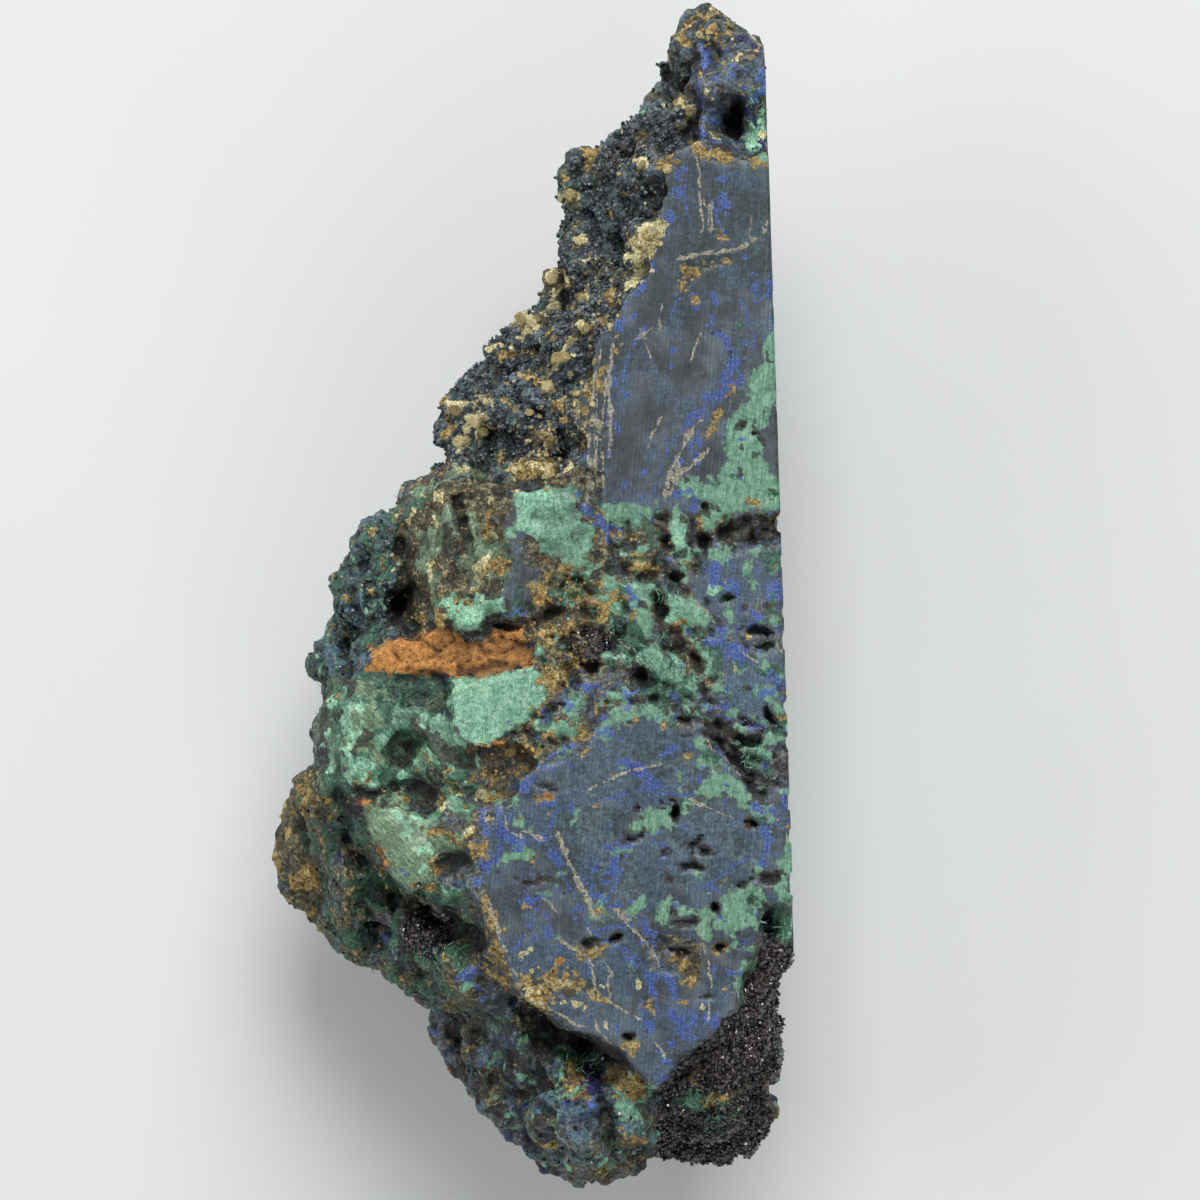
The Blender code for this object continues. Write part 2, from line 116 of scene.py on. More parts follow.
# Outline of the rock from above, clockwise from the knob at the narrow end.
# It runs on past the second saw cut, which trims it.
ROCK_OUTLINE = (
    (710, 7), (726, 14), (737, 24), (757, 36), (764, 45), (805, 52),
    (835, 500), (835, 950), (783, 972), (777, 1000), (780, 1050), (778, 1065),
    (765, 1080), (766, 1110), (757, 1125), (755, 1150), (740, 1158), (715, 1157),
    (690, 1153), (668, 1155), (640, 1178), (600, 1182), (580, 1183), (556, 1163),
    (525, 1145), (505, 1130), (480, 1100), (460, 1080), (450, 1060), (455, 1045),
    (437, 1038), (432, 1020), (437, 1003), (416, 999), (400, 983), (385, 970),
    (362, 965), (340, 952), (318, 932), (300, 910), (288, 885), (281, 860),
    (279, 840), (281, 815), (286, 800), (303, 781), (316, 768), (316, 750),
    (319, 725), (317, 700), (326, 680), (318, 665), (320, 643), (331, 620),
    (340, 605), (338, 590), (347, 560), (365, 530), (385, 513), (400, 505),
    (402, 484), (420, 476), (440, 463), (449, 458), (443, 440), (449, 420),
    (450, 404), (463, 388), (488, 370), (497, 343), (503, 327), (520, 310),
    (541, 305), (545, 290), (555, 262), (562, 257), (550, 235), (553, 212),
    (567, 180), (585, 157), (604, 146), (620, 130), (643, 112), (645, 97),
    (663, 80), (674, 58), (675, 40), (693, 27), (698, 18),
)

# Outline of the flat face that the first saw cut left
SAWN_OUTLINE = (
    (690, 144), (676, 150), (668, 160), (665, 180), (660, 200),
    (668, 225), (655, 250), (640, 285), (620, 310), (600, 340), (590, 370), (585, 400),
    (583, 440), (583, 480), (560, 487), (530, 490), (513, 492), (507, 530), (512, 560),
    (507, 590), (504, 616), (530, 620), (536, 650), (535, 668), (500, 674), (458, 684),
    (452, 712), (466, 740), (498, 740), (530, 735), (538, 765), (515, 782), (520, 795),
    (498, 800), (470, 812), (464, 840), (475, 865), (480, 890), (490, 912), (497, 940),
    (505, 962), (514, 985), (522, 1001), (545, 1010), (568, 1026), (590, 1033),
    (612, 1048), (632, 1058), (643, 1075), (655, 1088), (668, 1075), (680, 1060),
    (692, 1050), (702, 1041), (716, 1034), (720, 1014), (735, 1013), (738, 998),
    (744, 985), (752, 970), (757, 950), (762, 930), (766, 905), (790, 900), (850, 880),
    (850, 159), (768, 158), (748, 159), (735, 154), (720, 151), (705, 144),
)

# Depth in millimetres of the natural front surface under the sawn face: (u, v, depth)
UPPER_CRUST = (
    (700, 35, 3), (680, 60, 5), (668, 85, 7), (672, 110, 3), (650, 135, 6), (625, 140, 10),
    (655, 165, 1.5), (610, 160, 9), (580, 185, 11), (640, 200, 2.5), (610, 205, 6),
    (565, 215, 11), (640, 240, 1.5), (610, 250, 5), (575, 250, 9), (560, 275, 11),
    (625, 290, 1.2), (595, 290, 5), (565, 305, 9), (600, 325, 1.8), (575, 330, 5),
    (540, 330, 8), (515, 330, 10), (583, 370, 1.2), (555, 365, 4), (525, 365, 7),
    (498, 372, 9), (572, 405, 1), (540, 400, 3), (505, 400, 6), (468, 400, 9),
    (572, 445, 0.8), (540, 440, 2.5), (500, 440, 5), (460, 440, 8), (540, 475, 1.2),
    (500, 470, 3), (455, 465, 6),
)
UPPER_LEFT = (
    (480, 500, 1.5), (450, 500, 3), (420, 495, 6), (480, 540, 0.8), (450, 540, 1.3),
    (420, 540, 3), (402, 545, 6), (470, 580, 0.8), (440, 588, 1.5), (425, 600, 3),
    (385, 530, 8.5), (365, 550, 9), (350, 580, 10), (362, 600, 8.5), (340, 625, 11),
    (382, 585, 8), (345, 650, 10), (327, 662, 12), (385, 620, 9), (365, 640, 8),
    (402, 605, 10), (475, 608, 0.8), (445, 606, 1.5), (470, 630, 4),
)
MIDDLE_LEFT = (
    (376, 665, 5), (386, 648, 4.2), (405, 655, 3.4), (430, 645, 2.9), (460, 660, 2.3),
    (500, 645, 1.8), (380, 688, 5.5), (415, 690, 4.8), (445, 690, 3), (335, 690, 6),
    (328, 720, 7), (345, 735, 4.4), (362, 715, 3.4), (370, 765, 3.4), (398, 708, 3),
    (430, 720, 2.2), (448, 745, 2), (435, 775, 2.4), (405, 752, 4.8), (400, 783, 3.4),
    (352, 778, 5.5), (325, 752, 8), (500, 768, 2.4), (488, 788, 2.2), (515, 755, 1.5),
)
LOWER_LEFT = (
    (370, 793, 7), (410, 792, 5), (440, 795, 3), (470, 795, 2), (380, 815, 3.4),
    (403, 830, 2.9), (430, 838, 2.5), (452, 842, 2.3), (390, 860, 4), (412, 882, 4.4),
    (425, 892, 5), (447, 868, 3), (447, 892, 3.6), (470, 870, 1.4), (330, 810, 10),
    (352, 810, 11), (345, 838, 8.5), (362, 855, 9), (330, 868, 10), (350, 888, 10),
    (382, 885, 10), (330, 895, 13), (350, 918, 13), (380, 912, 11), (365, 942, 14),
    (300, 790, 18), (290, 830, 19), (306, 860, 17), (297, 888, 20), (318, 800, 13),
    (320, 915, 17), (402, 910, 9), (430, 910, 10), (410, 940, 9), (438, 938, 8.5),
    (425, 968, 10), (455, 915, 9), (400, 972, 13), (430, 990, 13), (440, 900, 8),
    (462, 965, 5), (447, 962, 7), (475, 988, 6), (486, 945, 3), (475, 912, 3.2),
    (462, 928, 8), (455, 1003, 10), (482, 1010, 8),
)
FOOT = (
    (450, 1022, 20), (500, 1018, 7), (520, 1028, 7), (545, 1022, 9), (575, 1042, 9),
    (604, 1052, 8), (527, 1008, 6), (470, 1060, 12), (500, 1068, 10), (482, 1088, 12),
    (520, 1090, 9), (510, 1118, 12), (536, 1132, 12), (540, 1048, 6.5), (570, 1060, 5.5),
    (592, 1082, 6), (558, 1088, 4.4), (575, 1120, 3.8), (550, 1118, 6), (592, 1142, 5.5),
    (575, 1152, 6), (606, 1122, 9), (625, 1080, 3.5), (632, 1108, 4), (640, 1132, 6),
    (615, 1148, 10), (652, 1105, 7), (672, 1082, 4), (690, 1100, 5.5), (702, 1125, 8),
    (660, 1130, 8.5), (722, 1112, 6.5), (690, 1146, 11), (705, 1050, 2.5),
    (735, 1030, 3), (762, 1000, 2), (762, 1040, 4), (742, 1068, 4.5), (772, 1062, 7),
    (722, 1085, 5.5), (752, 1090, 9), (750, 1122, 15), (738, 1145, 16), (600, 1170, 17),
    (640, 1166, 17), (770, 940, 2.5), (772, 970, 2), (748, 985, 1.2), (728, 1018, 2.5),
)
BROKEN_TOP = (
    (712, 14, 3.6), (728, 22, 2.6), (738, 32, 2.0), (757, 42, 1.4), (762, 60, 0.9), (745, 55, 1.8),
    (728, 45, 2.2), (712, 55, 2.6), (702, 75, 1.2), (716, 75, 0.9), (728, 90, 1.3), (708, 95, 0.8),
    (742, 75, 2.0), (760, 82, 0.8), (750, 90, 1.6), (690, 85, 3.2), (692, 112, 2.6), (704, 118, 1.6),
    (716, 108, 3.4), (731, 104, 5.4), (732, 122, 6.6), (740, 122, 5.4), (740, 136, 4.4), (750, 100, 2.0),
    (749, 120, 2.4), (749, 140, 2.2), (757, 104, 2.6),
    (758, 122, 2.2), (758, 140, 2.0), (765, 112, 1.6), (706, 131, 0.9), (716, 139, 1.0), (725, 147, 0.8),
    (738, 151, 1.0), (697, 150, 1.4), (684, 141, 2.2), (756, 153, 1.3), (766, 150, 1.0),
)
FRONT_DEPTHS = BROKEN_TOP + UPPER_CRUST + UPPER_LEFT + MIDDLE_LEFT + LOWER_LEFT + FOOT

# Ledges that stand over their surroundings: outline, then the depths in millimetres
# at their left and right ends
RUST_LEDGE = (
    (366, 668), (374, 652), (386, 641), (410, 637), (430, 626), (447, 628), (465, 640), (480, 640),
    (492, 629), (525, 626), (532, 650), (534, 666), (510, 669), (478, 677), (450, 674), (400, 674),
)
FIBROUS_FRAGMENT = (
    (363, 809), (378, 802), (405, 804), (430, 826), (466, 842), (460, 853), (430, 860),
    (436, 876), (415, 897), (398, 886), (382, 862), (379, 846), (364, 820),
)
PALE_MALACHITE = (
    (438, 598), (465, 597), (505, 589), (511, 594), (500, 610), (490, 613), (480, 629),
    (460, 631), (444, 617),
)
LEDGES = ((RUST_LEDGE, 3.8, 1.4), (FIBROUS_FRAGMENT, 3.6, 2.0), (PALE_MALACHITE, 1.0, 0.6))
LEDGE_WALL = 0.0005

# Round lumps of the front: (u, v, depth of the crown in mm, radius in mm)
FRONT_LUMPS = (
    (303, 842, 15.5, 6.0), (452, 1021, 18.5, 2.6), (463, 968, 4.2, 2.6), (448, 886, 2.8, 1.8),
    (474, 914, 3.0, 1.5), (575, 1116, 3.2, 4.2), (630, 1106, 3.2, 3.4), (592, 1080, 5.0, 1.6),
    (352, 588, 7.6, 2.8), (378, 545, 7.0, 2.6), (344, 640, 9.2, 2.8), (374, 612, 7.4, 2.0),
    (336, 676, 8.6, 2.2), (600, 270, 4.4, 2.2), (650, 236, 0.9, 1.9), (570, 256, 9.0, 1.9),
    (465, 425, 7.4, 2.2), (548, 386, 3.4, 1.6), (576, 292, 7.2, 1.6), (570, 197, 9.6, 1.8),
    (514, 318, 8.8, 1.8), (500, 428, 4.6, 2.0), (536, 440, 2.2, 1.7), (480, 388, 8.0, 1.9),
    (554, 338, 6.2, 1.4), (430, 520, 3.0, 3.2), (452, 574, 0.9, 3.4), (480, 1064, 10.0, 3.4),
    (510, 1106, 10.2, 3.2), (540, 1140, 13.0, 2.4), (745, 1120, 13.0, 3.4), (610, 1172, 15.0, 2.6),
    (372, 735, 2.4, 9.0), (626, 300, 1.0, 1.4), (585, 350, 3.0, 2.0), (405, 928, 7.8, 2.4),
    (432, 942, 7.6, 2.2), (690, 1100, 4.8, 2.2), (722, 1115, 6.0, 2.0),
)

# Depth in millimetres of the widest part of the rim, under the sawn face
RIM_DEPTHS = (
    (715, 10, 8), (660, 80, 11), (600, 150, 13), (550, 235, 14), (510, 320, 13),
    (450, 420, 13), (402, 490, 10), (365, 530, 12), (330, 620, 14), (317, 700, 10),
    (316, 760, 12), (283, 810, 22), (281, 870, 23), (318, 930, 21), (372, 968, 17),
    (425, 1002, 16), (434, 1025, 24), (452, 1065, 15), (505, 1130, 16), (556, 1163, 17),
    (590, 1183, 21), (640, 1178, 20), (675, 1155, 16), (715, 1157, 19), (757, 1140, 20),
    (768, 1080, 14), (780, 1020, 12), (835, 900, 16), (835, 500, 16), (805, 60, 8),
)

# Height in millimetres of the back over the ground; what is below it is the flat it lies on
BACK_HEIGHTS = (
    (715, 40, 23), (690, 110, 19), (680, 190, 14), (640, 260, 8), (760, 260, 11),
    (600, 330, 2.5), (740, 340, 3), (650, 390, -2.5), (560, 450, 1), (740, 450, 2),
    (470, 520, 6), (640, 520, 2.5), (760, 560, 0.5), (550, 590, -2.5), (420, 620, 6),
    (650, 640, -3), (740, 680, 1.5), (480, 690, 1), (600, 720, -3), (380, 760, 5),
    (680, 780, -2.5), (520, 800, 1.5), (420, 840, -2.5), (770, 850, 4), (330, 880, 4),
    (600, 860, -1.5), (500, 900, 3), (700, 920, 1), (430, 950, 3), (600, 960, 2),
    (520, 1000, -2.5), (680, 1030, -2.5), (470, 1060, 6), (760, 1020, 6), (580, 1070, 1.5),
    (520, 1120, 8), (640, 1120, 4), (720, 1120, 8), (600, 1170, 11),
)

# Open pits and crevices of the front: (u, v, half length, half width, turn in degrees, depth in mm)
LARGE_PITS = (
    (737, 106, 13, 8, 70, 3.2), (733, 127, 13, 10, 110, 3.4), (403, 750, 22, 19, 60, 1.8),
    (416, 742, 15, 9, 20, 1.2), (634, 536, 26, 15, 0, 2.0), (645, 567, 18, 13, 10, 1.8),
    (663, 532, 9, 15, 0, 1.8), (692, 535, 6, 13, 0, 1.8), (748, 531, 34, 12, 5, 2.4),
    (722, 742, 38, 15, -48, 4.5),
    (752, 772, 26, 9, -28, 4.0), (706, 688, 16, 8, -60, 3.0), (678, 640, 40, 8, -42, 2.5),
    (592, 950, 18, 14, 0, 3.0), (771, 878, 16, 7, 5, 3.0), (768, 922, 20, 8, 85, 3.0),
    (694, 853, 18, 13, 70, 1.6), (560, 612, 28, 9, 12, 2.6), (686, 921, 15, 5, 0, 2.6),
    (636, 837, 16, 6, 10, 2.6), (528, 879, 20, 5, 8, 2.4), (692, 272, 12, 9, 40, 1.6),
)
SMALL_PITS = (
    (676, 813, 9, 5, 80, 1.8), (728, 598, 7, 4, 35, 0.6), (677, 577, 8, 7, 0, 1.0),
    (704, 541, 11, 8, 70, 1.2), (592, 666, 12, 7, 10, 1.4), (641, 674, 10, 7, -20, 1.6),
    (617, 938, 6, 4, 0, 1.0), (680, 951, 14, 4, -12, 1.0), (721, 946, 7, 3, 0, 0.8),
    (628, 1036, 9, 4, 0, 1.0), (752, 824, 8, 4, -8, 0.9), (715, 907, 6, 5, 0, 0.8),
    (747, 741, 16, 5, -10, 1.6), (685, 720, 8, 4, -10, 0.9), (770, 716, 11, 5, -50, 1.2),
    (742, 426, 7, 4, 20, 0.5), (755, 432, 7, 3, -10, 0.5), (771, 495, 4, 4, 0, 0.4),
    (697, 842, 10, 5, 20, 0.7), (703, 852, 7, 5, -30, 0.7), (689, 866, 12, 4, -10, 0.6),
    (612, 940, 5, 4, 0, 0.6), (507, 627, 14, 4, 0, 1.6), (762, 632, 18, 5, -6, 1.2),
    (768, 645, 14, 4, -4, 0.9), (660, 605, 6, 16, 10, 1.4), (672, 912, 3, 3, 0, 0.4),
    (741, 920, 3, 3, 0, 0.4), (563, 892, 4, 3, 0, 0.3), (541, 785, 8, 2, -25, 0.3),
)

# The pale sawn malachite beside the dome
PALE_PATCH = (
    (453, 682), (476, 676), (500, 671), (512, 668), (532, 668), (543, 675), (547, 690), (543, 702),
    (533, 712), (528, 722), (505, 733), (495, 738), (488, 746), (474, 745), (458, 735), (450, 718),
)

# Minerals of the front, each as outlines, streaks (line, width) and spots
# (u, v, half length, half width, turn)
MALACHITE = {
    "outlines": (
        ((775, 312), (770, 325), (762, 345), (755, 370), (750, 390), (748, 400), (738, 410), (727, 422),
         (722, 440), (728, 460), (720, 468), (716, 483), (700, 480), (683, 480), (680, 490), (697, 500),
         (705, 508), (702, 520), (705, 535), (712, 532), (728, 518), (745, 508), (765, 512), (783, 512),
         (786, 482), (775, 478), (765, 460), (761, 444), (766, 420), (775, 405), (774, 392), (781, 380),
         (778, 330)),
        ((598, 503), (620, 505), (635, 502), (658, 502), (655, 510), (652, 520), (640, 528), (625, 525),
         (612, 528), (605, 522)),
        ((515, 490), (520, 487), (530, 492), (540, 487), (567, 483), (575, 488), (580, 495), (578, 505),
         (582, 515), (590, 525), (597, 545), (590, 552), (583, 555), (592, 575), (585, 578), (575, 572),
         (560, 560), (548, 555), (540, 550), (528, 535), (520, 530), (510, 537), (507, 530), (518, 515)),
        PALE_MALACHITE,
        PALE_PATCH,
        ((320, 705), (326, 690), (338, 680), (350, 684), (376, 700), (392, 706), (425, 707), (442, 712),
         (456, 724), (468, 748), (462, 762), (452, 772), (425, 776), (395, 783), (372, 785), (355, 790),
         (350, 780), (342, 768), (328, 758), (319, 740)),
        FIBROUS_FRAGMENT,
        ((606, 575), (630, 582), (657, 588), (650, 600), (648, 612), (655, 625), (650, 640), (646, 655),
         (636, 664), (628, 662), (632, 648), (622, 640), (626, 625), (615, 618), (600, 612), (592, 600)),
        ((648, 632), (662, 645), (674, 652), (685, 662), (690, 675), (700, 670), (703, 690), (690, 702),
         (680, 700), (672, 685), (655, 680), (645, 668), (638, 652)),
        ((663, 598), (675, 592), (690, 598), (700, 606), (714, 617), (706, 627), (697, 630), (694, 638),
         (684, 632), (672, 628), (662, 618), (668, 608)),
        ((700, 645), (715, 640), (718, 650), (716, 665), (717, 677), (705, 680), (700, 668)),
        ((683, 703), (692, 700), (697, 708), (695, 716), (688, 719), (680, 713)),
        ((700, 700), (712, 702), (716, 712), (708, 717), (699, 713)),
        ((640, 705), (650, 700), (662, 706), (665, 716), (642, 718), (625, 722), (612, 726), (604, 736),
         (594, 743), (589, 741), (600, 727), (603, 716), (615, 713), (628, 711)),
        ((617, 690), (625, 683), (633, 688), (640, 697), (632, 702), (612, 702), (603, 698), (607, 690)),
        ((548, 714), (560, 708), (572, 702), (585, 700), (590, 706), (585, 713), (575, 720), (562, 716)),
        ((590, 705), (600, 704), (605, 712), (602, 720), (595, 715)),
        ((530, 732), (533, 724), (545, 720), (558, 722), (565, 730), (572, 735), (562, 740), (566, 748),
         (558, 744), (548, 738), (538, 738)),
        ((556, 750), (565, 745), (575, 748), (573, 756), (563, 760), (557, 757)),
        ((697, 742), (706, 742), (712, 752), (722, 760), (728, 768), (738, 775), (746, 785), (753, 798),
         (752, 806), (741, 811), (737, 803), (728, 797), (715, 795), (703, 797), (698, 806), (688, 812),
         (678, 812), (672, 825), (656, 834), (646, 836), (640, 830), (626, 834), (624, 828), (632, 820),
         (645, 810), (658, 805), (672, 803), (683, 797), (700, 786), (704, 775), (700, 765), (696, 752)),
        ((735, 742), (745, 740), (765, 745), (773, 752), (770, 765), (774, 779), (765, 776), (755, 770),
         (742, 764), (735, 752), (742, 748)),
        ((760, 690), (768, 683), (776, 686), (780, 692), (778, 700), (770, 704), (762, 704)),
        ((757, 668), (770, 665), (783, 673), (791, 680), (786, 684), (772, 680), (760, 676)),
        ((772, 712), (780, 705), (788, 715), (792, 728), (782, 728), (776, 720)),
        ((768, 735), (790, 730), (792, 740), (780, 748), (772, 745)),
        ((752, 815), (758, 806), (766, 802), (772, 808), (768, 820), (762, 824), (755, 822)),
        ((785, 838), (792, 835), (795, 850), (796, 880), (790, 888), (786, 878), (779, 866), (784, 850)),
        ((774, 893), (780, 888), (794, 888), (792, 900), (782, 904), (774, 902)),
        ((768, 905), (775, 906), (780, 920), (778, 935), (770, 932), (766, 920)),
        ((780, 908), (788, 912), (791, 935), (783, 945), (779, 930)),
        ((653, 925), (661, 910), (658, 902), (664, 899), (680, 907), (700, 907), (706, 912), (718, 908),
         (722, 902), (736, 893), (745, 888), (757, 889), (765, 900), (762, 915), (761, 927), (755, 930),
         (748, 927), (735, 936), (731, 936), (727, 928), (721, 922), (716, 930), (708, 938), (698, 936),
         (692, 928), (698, 917), (672, 918), (676, 926), (672, 931), (664, 930)),
        ((742, 880), (750, 874), (756, 863), (761, 866), (758, 876), (748, 883)),
        ((743, 948), (752, 946), (753, 955), (745, 955)),
        ((745, 960), (755, 957), (758, 965), (750, 971), (745, 968)),
        ((583, 918), (590, 912), (594, 903), (600, 898), (606, 905), (612, 910), (612, 920), (603, 922)),
        ((627, 908), (632, 901), (640, 898), (649, 901), (650, 907), (642, 914), (632, 913)),
        ((512, 797), (518, 797), (523, 808), (530, 820), (535, 828), (533, 838), (528, 832), (514, 830),
         (512, 820), (517, 812)),
        ((500, 850), (508, 848), (515, 852), (530, 853), (528, 860), (518, 862), (502, 862)),
        ((529, 894), (540, 887), (552, 884), (562, 885), (545, 894), (535, 896)),
        ((448, 800), (452, 792), (457, 798), (470, 797), (474, 803), (470, 815), (466, 821), (460, 815),
         (445, 808)),
        ((437, 898), (432, 885), (436, 874), (441, 885), (446, 893), (458, 890), (463, 884), (458, 900),
         (448, 905)),
        ((747, 90), (756, 86), (768, 88), (770, 120), (770, 158), (757, 158), (747, 151), (743, 140),
         (748, 120), (745, 100)),
        ((722, 540), (735, 545), (728, 555), (718, 552)), ((745, 565), (760, 570), (752, 580), (742, 575)),
        ((770, 600), (776, 612), (780, 627), (770, 622), (766, 610)),
        ((725, 600), (735, 605), (730, 615), (722, 608)), ((708, 582), (722, 590), (718, 605), (706, 598)),
        ((755, 682), (758, 690), (748, 700), (742, 702), (748, 690)),
        ((605, 1062), (650, 1095), (652, 1105), (640, 1126), (626, 1126), (616, 1110), (612, 1098)),
        ((560, 1050), (580, 1047), (590, 1058), (586, 1066), (572, 1070), (565, 1062)),
        ((675, 1092), (690, 1088), (705, 1092), (702, 1104), (690, 1108), (678, 1104)),
        ((706, 1135), (712, 1122), (722, 1110), (732, 1102), (738, 1106), (734, 1118), (724, 1130)),
        ((420, 955), (430, 960), (436, 966), (440, 960), (444, 966), (434, 970), (424, 966)),
        ((493, 1014), (502, 1012), (503, 1024), (497, 1030), (491, 1026)),
        ((565, 1086), (574, 1088), (572, 1098), (564, 1096)),
    ),
    "streaks": (
        (((733, 714), (741, 728), (752, 750)), 4), (((520, 845), (531, 853)), 4),
        (((556, 879), (562, 874)), 5), (((437, 815), (444, 817), (442, 826), (449, 834)), 4),
        (((490, 803), (503, 796)), 5), (((790, 905), (786, 950)), 5), (((779, 1030), (779, 1062)), 5),
        (((762, 1004), (764, 1014)), 6), (((768, 1002), (776, 1012)), 4), (((640, 690), (650, 698)), 4),
    ),
    "spots": (
        (734, 947, 5, 3, 0), (741, 976, 6, 3, -20), (743, 986, 5, 4, 0), (745, 999, 5, 4, 30),
        (756, 1000, 5, 4, 0), (622, 852, 5, 4, 20), (765, 590, 5, 4, 60), (745, 611, 6, 3, 70),
        (741, 524, 6, 8, 0), (680, 539, 9, 15, 0), (745, 667, 4, 3, 0), (752, 717, 6, 5, 0),
        (764, 790, 6, 4, 30), (788, 790, 4, 8, 0), (772, 570, 6, 3, 20), (734, 585, 4, 3, 0),
        (757, 548, 7, 3, 20), (784, 560, 4, 6, 0), (726, 560, 5, 3, 40), (630, 970, 3, 3, 0),
        (648, 972, 4, 2, -40), (470, 985, 7, 6, 40), (555, 730, 5, 4, 0), (568, 598, 10, 5, 10),
        (590, 598, 6, 5, 0), (607, 655, 7, 4, 0), (538, 652, 5, 3, 0), (640, 112, 4, 3, 0),
        (536, 1036, 14, 4, 20), (513, 1114, 3, 3, 0), (650, 1095, 5, 3, 0),
    ),
}
BRIGHT_AZURITE = {
    "outlines": (
        ((725, 377), (741, 379), (739, 390), (726, 391)),
        ((595, 515), (610, 520), (620, 530), (615, 540), (600, 536)),
        ((708, 578), (725, 576), (740, 582), (738, 592), (720, 590)),
        ((618, 760), (630, 756), (645, 768), (655, 778), (662, 788), (650, 786), (640, 778), (625, 772)),
        ((620, 842), (628, 838), (637, 845), (635, 851), (628, 854), (621, 850)),
        ((578, 870), (585, 878), (593, 894), (586, 891), (580, 880)),
        ((518, 900), (525, 893), (540, 896), (553, 895), (545, 903), (530, 907)),
        ((540, 838), (546, 838), (552, 850), (561, 860), (555, 864), (545, 855)),
        ((510, 838), (518, 835), (523, 842), (515, 847)),
        ((670, 1012), (690, 1010), (700, 1030), (690, 1045), (676, 1030)),
        ((705, 1015), (718, 1012), (720, 1030), (710, 1032)),
        ((702, 640), (712, 632), (722, 635), (720, 645), (706, 648)),
        ((720, 650), (735, 648), (745, 655), (738, 662), (725, 660)),
        ((705, 706), (715, 703), (723, 712), (712, 717)), ((742, 640), (752, 642), (750, 655), (742, 652)),
        ((720, 700), (728, 704), (726, 712), (719, 708)),
        ((760, 680), (775, 682), (790, 690), (786, 699), (772, 685)),
        ((455, 972), (470, 965), (480, 972), (478, 982), (464, 985)),
        ((482, 990), (490, 985), (493, 998), (485, 1000)),
        ((655, 1078), (664, 1070), (668, 1078), (658, 1086)),
        ((660, 1060), (668, 1058), (672, 1066), (664, 1068)),
        ((582, 1102), (594, 1100), (598, 1110), (586, 1112)),
        ((755, 585), (775, 580), (783, 592), (770, 598)), ((707, 560), (722, 562), (718, 572), (706, 570)),
    ),
    "streaks": (
        (((712, 322), (718, 330), (725, 340), (731, 352), (732, 366), (730, 378), (726, 389), (719, 396),
          (708, 401), (700, 410), (690, 421)), 6),
        (((750, 278), (757, 286)), 4), (((755, 290), (757, 310)), 4), (((770, 292), (774, 279)), 5),
        (((686, 301), (700, 308)), 5), (((680, 450), (697, 461)), 5), (((675, 493), (695, 500)), 5),
        (((580, 500), (590, 512), (597, 525)), 7), (((500, 812), (502, 835), (497, 850), (493, 862)), 7),
        (((484, 815), (485, 832)), 6), (((493, 862), (485, 872), (476, 886)), 6),
        (((765, 830), (769, 848), (762, 864)), 10), (((782, 812), (788, 805), (787, 826)), 7),
        (((770, 820), (776, 830)), 5), (((645, 925), (650, 946)), 6),
        (((624, 952), (640, 965), (650, 976), (653, 1006)), 5), (((663, 968), (672, 985), (682, 1002)), 3),
        (((660, 833), (664, 860)), 5), (((605, 848), (592, 876)), 3), (((618, 860), (603, 881)), 3),
        (((590, 894), (605, 897), (622, 904)), 5), (((712, 62), (716, 82)), 3), (((704, 98), (712, 122)), 4),
        (((728, 62), (733, 78)), 4), (((700, 130), (706, 150)), 4), (((520, 790), (540, 771), (560, 764)), 5),
        (((548, 757), (580, 744)), 4), (((590, 738), (612, 733)), 7), (((755, 690), (790, 700)), 4),
        (((785, 545), (786, 620)), 6), (((750, 610), (760, 622)), 5), (((545, 912), (550, 935)), 3),
        (((640, 1012), (652, 1030)), 3), (((612, 370), (608, 420), (610, 470)), 3),
        (((655, 250), (640, 290), (615, 330)), 3),
        (((680, 170), (672, 210), (664, 240)), 3), (((700, 60), (702, 90)), 3), (((720, 180), (724, 210)), 3),
    ),
    "spots": (
        (700, 443, 4, 3, 0), (575, 808, 5, 7, 0), (545, 801, 7, 4, 0), (668, 752, 8, 4, -30),
        (690, 748, 4, 3, 0),
        (560, 706, 5, 4, 0), (545, 715, 6, 5, 0), (560, 693, 3, 4, 0), (583, 686, 16, 3, -8),
        (598, 604, 6, 3, 0),
        (632, 600, 4, 7, 0), (526, 612, 4, 3, 0), (507, 613, 6, 3, 0), (698, 1122, 4, 5, 0),
        (671, 1092, 2, 5, 0),
        (678, 1136, 4, 3, 0), (711, 1110, 4, 6, 0), (570, 1102, 4, 3, 0), (555, 1063, 4, 4, 0),
        (571, 1076, 5, 4, 0),
        (512, 1044, 5, 4, 0), (515, 1003, 4, 3, 0), (433, 1030, 4, 6, 30), (384, 937, 2, 4, 20),
        (404, 877, 4, 2, 10),
        (735, 780, 6, 2, -50), (700, 768, 3, 3, 0), (728, 720, 4, 3, 0), (760, 728, 5, 3, 0),
        (765, 765, 4, 3, 0),
    ),
}
INDIGO_AZURITE = {
    "outlines": (
        ((583, 1066), (596, 1063), (603, 1072), (600, 1095), (590, 1098), (583, 1085)),
        ((580, 660), (600, 661), (600, 672), (588, 676), (580, 670)),
        ((345, 800), (362, 797), (360, 815), (346, 818)),
    ),
    "streaks": ((((480, 868), (492, 860)), 7), (((660, 803), (668, 806)), 6),),
    "spots": ((337, 860, 7, 6, 0), (608, 530, 7, 5, 20), (630, 768, 7, 5, 30), (500, 830, 3, 12, 0)),
}
